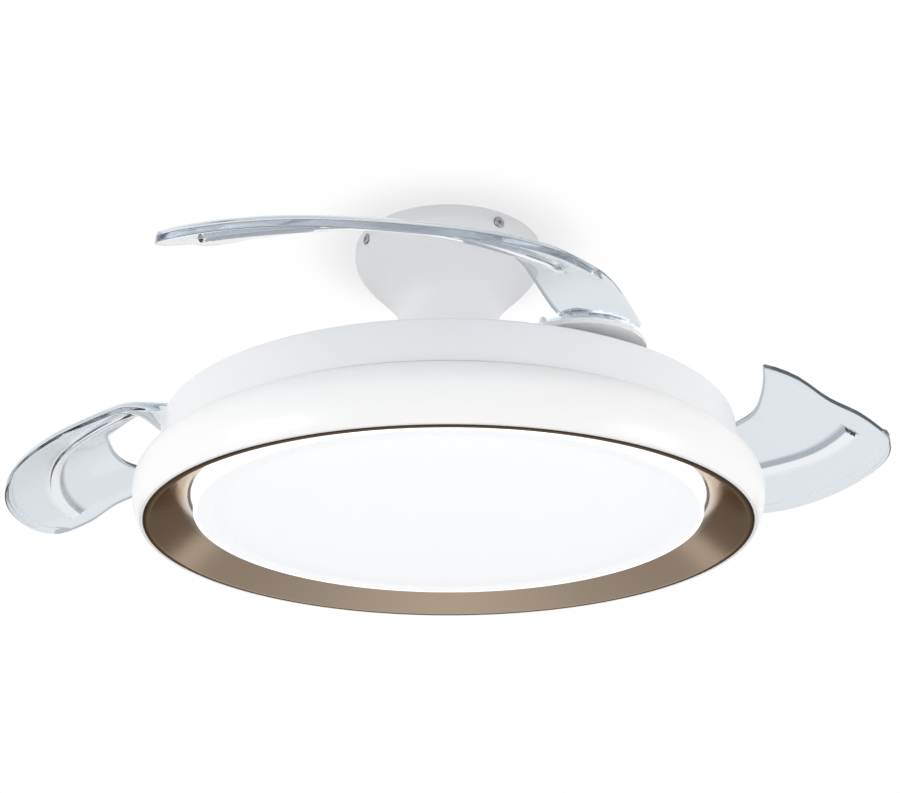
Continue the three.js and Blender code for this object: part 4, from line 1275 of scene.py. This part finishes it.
    def rib_marks(self, station: float, degrees: float) -> tuple[float, float]:
        """Returns whether a point is on the rib's inner or end wall, where shade is painted, and whether it
        is on the rib's crest, where a highlight is painted.
        """
        first, crest, last = self.rib_rows
        along = self.rib_start + 1 < degrees < self.rib_end + 0.5
        if not along or not first - self.row_slack < station < last + self.row_slack:
            return (0.0, 0.0)
        wall = station < crest + self.row_slack or degrees > self.rib_end - 0.4
        return (1.0, 0.0) if wall else (0.0, 1.0)

    def rib_at(self, radius: float, degrees: float) -> float:
        """Returns the rib's share of its depth at a place on the blade."""
        half = self.rib_width / 2
        side = 1 - smoothstep(abs(radius - self.rib_radius), half - 0.2, half + self.rib_side)
        ends = smoothstep(degrees, self.rib_start - 0.5, self.rib_start + 4)
        return side * ends * (1 - smoothstep(degrees, self.rib_end - 0.3, self.rib_end + 0.15))

    @staticmethod
    def sheet_faces(rows: int, columns: int) -> list[tuple[int, ...]]:
        """Returns the faces of a closed sheet between two grids."""
        offset, last_row = rows * columns, (rows - 1) * columns
        faces = []
        for row in range(0, last_row, columns):
            for a in range(row, row + columns - 1):
                b = a + columns
                faces.append((a, b, b + 1, a + 1))
                faces.append((offset + a, offset + a + 1, offset + b + 1, offset + b))
        for low in range(columns - 1):
            high = last_row + low
            faces.append((low, low + 1, offset + low + 1, offset + low))
            faces.append((high + 1, high, offset + high, offset + high + 1))
        for start in range(0, last_row, columns):
            end = start + columns - 1
            faces.append((start + columns, start, offset + start, offset + start + columns))
            faces.append((end, end + columns, offset + end + columns, offset + end))
        return faces

    def build(self, shop: Workshop) -> Mesh:
        """Makes the blade closed, in millimetres from its pivot, with its boss and its holes."""
        points, faces, marks = self.sheet()
        mesh = mesh_of("blade_sheet", points, faces)
        for name, values in zip(BLADE_MARKS, zip(*marks)):
            shares = mesh.attributes.new(name, "FLOAT", "POINT").data
            shares.foreach_set("value", np.array(values, np.float32))
        sheet = as_object("blade_sheet", outward(mesh))
        hub, top = self.hub_radius, self.boss_top
        outline = filleted([(0.0, self.seat), (hub, self.seat, 0.8), (hub, top, 1.2), (0.0, top)])
        boss = shop.turned("boss", outline, self.boss_sides, CLEAR)
        boss_mesh = boss.data
        bpy.data.objects.remove(boss)
        combined(sheet, [boss_mesh], "UNION")
        holes = [stacked("hole", [circle_points(self.bush_hole, self.bush_sides)] * 2, self.hole_span)]
        for side in (-1, 1):
            hole = stacked("hole", [circle_points(self.screw_hole, self.screw_sides)] * 2, self.hole_span)
            hole.transform(Matrix.Translation((side * self.screw_distance, 0, 0)))
            holes.append(hole)
        combined(sheet, holes, "DIFFERENCE")
        result = tidied(sheet, sharp_angle=40).data
        bpy.data.objects.remove(sheet)
        self.mark_rim(result)
        return result

    def mark_rim(self, mesh: Mesh) -> None:
        """Marks the boss's rim for its painted highlight and painted glow, because the union leaves its
        points unmarked.
        """
        cut, crest = mesh.attributes["cut"].data, mesh.attributes["crest"].data
        across, up = self.rim_slack
        for vertex in mesh.vertices:
            x, y, z = vertex.co
            if abs(math.hypot(x, y) - self.hub_radius) < across and self.seat - up < z < self.boss_top + up:
                # The rim takes the crest's painted highlight and the rim's painted glow.
                cut[vertex.index].value = crest[vertex.index].value = 1.0


@dataclass
class BladeArms:
    """The three blades on their pivots, each with hub, clamp, bush, spring, bolt and screws."""

    pivot_angles: tuple[float, float, float] = (60.0, 180.0, 300.0)
    pivot_distance: float = 190.0
    closed_swing: float = 45.0
    swings: tuple[float, float, float] = (-2.8, 37.7, 0.0)
    spring_radius: float = 10.5
    spring_wire: float = 0.9
    spring_turns: float = 4.0

    def placing(self, index: int) -> Matrix:
        """Returns the move from a blade's own space to the fan's, in millimetres."""
        arm = Matrix.Rotation(math.radians(self.pivot_angles[index]), 4, "Z")
        pivot = Matrix.Translation((self.pivot_distance, 0, 0))
        swing = math.radians(self.closed_swing + self.swings[index])
        return arm @ pivot @ Matrix.Rotation(swing, 4, "Z")

    def build(self, shop: Workshop) -> None:
        """Makes every blade's pieces."""
        blade = BladeShape().build(shop)
        for index, body in enumerate(BLADE_BODIES):
            number = index + 1
            sheet = as_object(f"clear_blade_{number}", blade.copy())
            shop.hand_over(framed(sheet, self.placing(index)), CLEAR, body, f"blade_{number}")
            spring = self.spring(shop, number)
            shop.hand_over(framed(spring, self.placing(index)), SPRING, body, f"return_spring_{number}")
            shop.keep(CARRIER_WHITE, f"blade_hub_{number}", f"blade_clamp_{number}")
            shop.keep(NYLON, f"pivot_bush_{number}")
            shop.keep(ZINC, f"blade_screw_{number}a", f"blade_screw_{number}b", f"pivot_bolt_{number}")

    def spring(self, shop: Workshop, number: int) -> Obj:
        """Winds one return spring."""
        low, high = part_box(f"return_spring_{number}")
        foot = low.z / MM + OVERALL_HEIGHT
        height = (high.z - low.z) / MM - 2 * self.spring_wire
        seed = mesh_of("seed", [(0.0, 0.0, 0.0)])
        values = {"Radius": self.spring_radius, "Wire Radius": self.spring_wire, "Turns": self.spring_turns}
        values |= {"Height": height, "Material": shop.paint(SPRING)}
        spring = grown(f"coil_spring_{number}", seed, shop.helix, values)
        spring.data.transform(Matrix.Translation((0, 0, foot + self.spring_wire)))
        return tidied(spring, sharp_angle=50)


# --- stage


@dataclass(frozen=True)
class Stage:
    """The ceiling, the floor, the light and the camera."""

    camera_distance: float = 1.0635
    camera_height: float = -0.6063
    camera_pitch: float = 23.65
    lens: float = 54.38
    sensor_width: float = 36.0
    shift_x: float = 0.0016
    ceiling_radius: float = 2.6
    floor_radius: float = 3.0
    floor_height: float = -2.4
    ceiling_gap: float = 0.0005
    backdrop_grey: float = 0.8
    # A painted soft shadow on the ceiling round the canopy.
    painted_shadow_start: float = 0.083
    painted_shadow_reach: float = 0.034
    painted_shadow_depth: float = 0.16
    world_light: float = 0.85
    seen_light: float = 0.15
    wall_card: tuple[float, float, float, float] = (3.4, 3.2, -1.9, -0.02)
    low_card: tuple[float, float, float] = (2.6, -2.3, 0.45)
    card_strength: float = 0.26
    card_colour: Colour = (1.0, 0.92, 0.84)
    bright_half_width: float = 0.9
    lamps: tuple[tuple[str, tuple[float, float, float], float], ...] = (
        ("front_left", (-2.2, -1.3, -0.9), 14.0),
        ("front_right", (2.3, -0.9, -1.0), 12.0),
    )
    lamp_size: float = 1.2
    lamp_target: tuple[float, float, float] = (0.0, 0.0, -0.15)
    disc_sides: int = 96

    def camera(self) -> None:
        """Places the camera at the photograph's viewing angle."""
        data = bpy.data.cameras.new("camera")
        data.lens, data.sensor_width, data.shift_x = self.lens, self.sensor_width, self.shift_x
        camera = bpy.data.objects.new("camera", data)
        camera.location = (0.0, -self.camera_distance, self.camera_height)
        camera.rotation_euler = (math.radians(90 + self.camera_pitch), 0.0, 0.0)
        bpy.context.scene.collection.objects.link(camera)
        bpy.context.scene.camera = camera

    def seen_rays(self, g: Graph) -> Any:
        """Returns a socket that is one for camera, glossy and transmission rays."""
        path = g.node("ShaderNodeLightPath").outputs
        seen = g.math("ADD", path["Is Camera Ray"], path["Is Glossy Ray"])
        total = g.math("ADD", seen, path["Is Transmission Ray"])
        return g.math("MINIMUM", total, 1.0)

    def disc(self, name: str, radius: float, height: float, facing_down: bool) -> Obj:
        """Makes a flat disc of the stage."""
        points = [(x, y, height) for x, y in circle_points(radius, self.disc_sides)]
        face = tuple(range(self.disc_sides))
        obj = as_object(name, mesh_of(name, points, [face[::-1] if facing_down else face]))
        return obj

    def backdrop_material(self, name: str, shade: float) -> Material:
        """Makes a plain white surface, seen from one side, with a painted soft shadow round the canopy."""
        made = bpy.data.materials.new(name)
        g = emptied(made)
        lit = g.out("ShaderNodeBsdfDiffuse", {"Color": (*3 * (self.backdrop_grey,), 1.0)})
        # Painted shadow: the surface, as camera and reflections see it, darkens in a soft ring round the
        # canopy.
        away = g.math("MAXIMUM", g.math("SUBTRACT", g.from_axis(), self.painted_shadow_start), 0.0)
        fall = g.bell(g.math("DIVIDE", away, self.painted_shadow_reach))
        strength = g.math("SUBTRACT", 1.0, g.math("MULTIPLY", fall, shade))
        emission = g.out("ShaderNodeEmission", {"Strength": strength})
        surface = g.out("ShaderNodeMixShader", {0: self.seen_rays(g), 1: lit, 2: emission})
        back = g.out("ShaderNodeNewGeometry", result="Backfacing")
        surface = g.out("ShaderNodeMixShader", {0: back, 1: surface, 2: g.out("ShaderNodeBsdfTransparent")})
        g.node("ShaderNodeOutputMaterial", {"Surface": surface})
        return made

    def world(self) -> None:
        """Gives the world a soft light and a white background."""
        world = bpy.context.scene.world = bpy.data.worlds.new("studio")
        g = emptied(world)
        strength = g.math("ADD", g.math("MULTIPLY", self.seen_rays(g), self.seen_light), self.world_light)
        background = g.out("ShaderNodeBackground", {"Color": WHITE, "Strength": strength})
        g.node("ShaderNodeOutputWorld", {"Surface": background})

    def lamp(self, name: str, place: Sequence[float], power: float) -> None:
        """Adds a soft square light that points at the fan."""
        data = bpy.data.lights.new(name, "AREA")
        data.shape, data.size, data.energy = "SQUARE", self.lamp_size, power
        light = bpy.data.objects.new(name, data)
        light.location = place
        light.rotation_mode = "QUATERNION"
        light.rotation_quaternion = (Vector(place) - Vector(self.lamp_target)).to_track_quat("Z", "Y")
        bpy.context.scene.collection.objects.link(light)

    def card(self, name: str, points: Sequence[Sequence[float]], side_fall: float = 0.0) -> None:
        """Adds a card that only reflections show, as in a product photographer's studio.

        Args:
            name: Name of the card.
            points: Its four corners.
            side_fall: How much of its white is lost to both sides, or 0 for a plain dark card.
        """
        obj = as_object(name, mesh_of(name, points, [(0, 1, 2, 3)]))
        made = bpy.data.materials.new(name)
        g = emptied(made)
        look: dict[str, Any] = {"Color": (*self.card_colour, 1.0), "Strength": self.card_strength}
        if side_fall:
            near = g.bell(g.math("DIVIDE", g.here()["X"], self.bright_half_width))
            strength = g.math("ADD", 1.0 - side_fall, g.math("MULTIPLY", near, side_fall))
            look = {"Color": WHITE, "Strength": strength}
        g.node("ShaderNodeOutputMaterial", {"Surface": g.out("ShaderNodeEmission", look)})
        obj.data.materials.append(made)
        obj.visible_camera = obj.visible_diffuse = obj.visible_transmission = obj.visible_shadow = False

    def build(self) -> None:
        """Makes the whole stage."""
        ceiling = self.disc("ceiling_plane", self.ceiling_radius, self.ceiling_gap, True)
        ceiling.data.materials.append(self.backdrop_material("ceiling_white", self.painted_shadow_depth))
        floor = self.disc("floor_plane", self.floor_radius, self.floor_height, False)
        floor.data.materials.append(self.backdrop_material("floor_white", 0.0))
        self.world()
        half, y, foot, top = self.wall_card
        self.card("dark_card", [(-half, y, foot), (half, y, foot), (half, y, top), (-half, y, top)])
        half, height, side_fall = self.low_card
        self.card("low_card", [(x, y, height) for x, y in box_outline(2 * half, 2 * half)], side_fall)
        for lamp in self.lamps:
            self.lamp(*lamp)
        bpy.context.scene.view_settings.view_transform = "Standard"


def corners(box: tuple[Vector, Vector]) -> list[list[float]]:
    """Returns a box's two corners as plain lists."""
    return [list(map(float, corner)) for corner in box]


def main() -> None:
    """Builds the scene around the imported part."""
    logging.basicConfig(level=logging.INFO, format="%(message)s")
    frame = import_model()
    stage = Stage()
    stage.camera()
    stage.build()
    shop = Workshop(frame)
    for assembly in (Lamp(), Mounting(), Motor(), BladeArms()):
        log.info("building %s", type(assembly).__name__)
        assembly.build(shop)


if __name__ == "__main__":
    main()
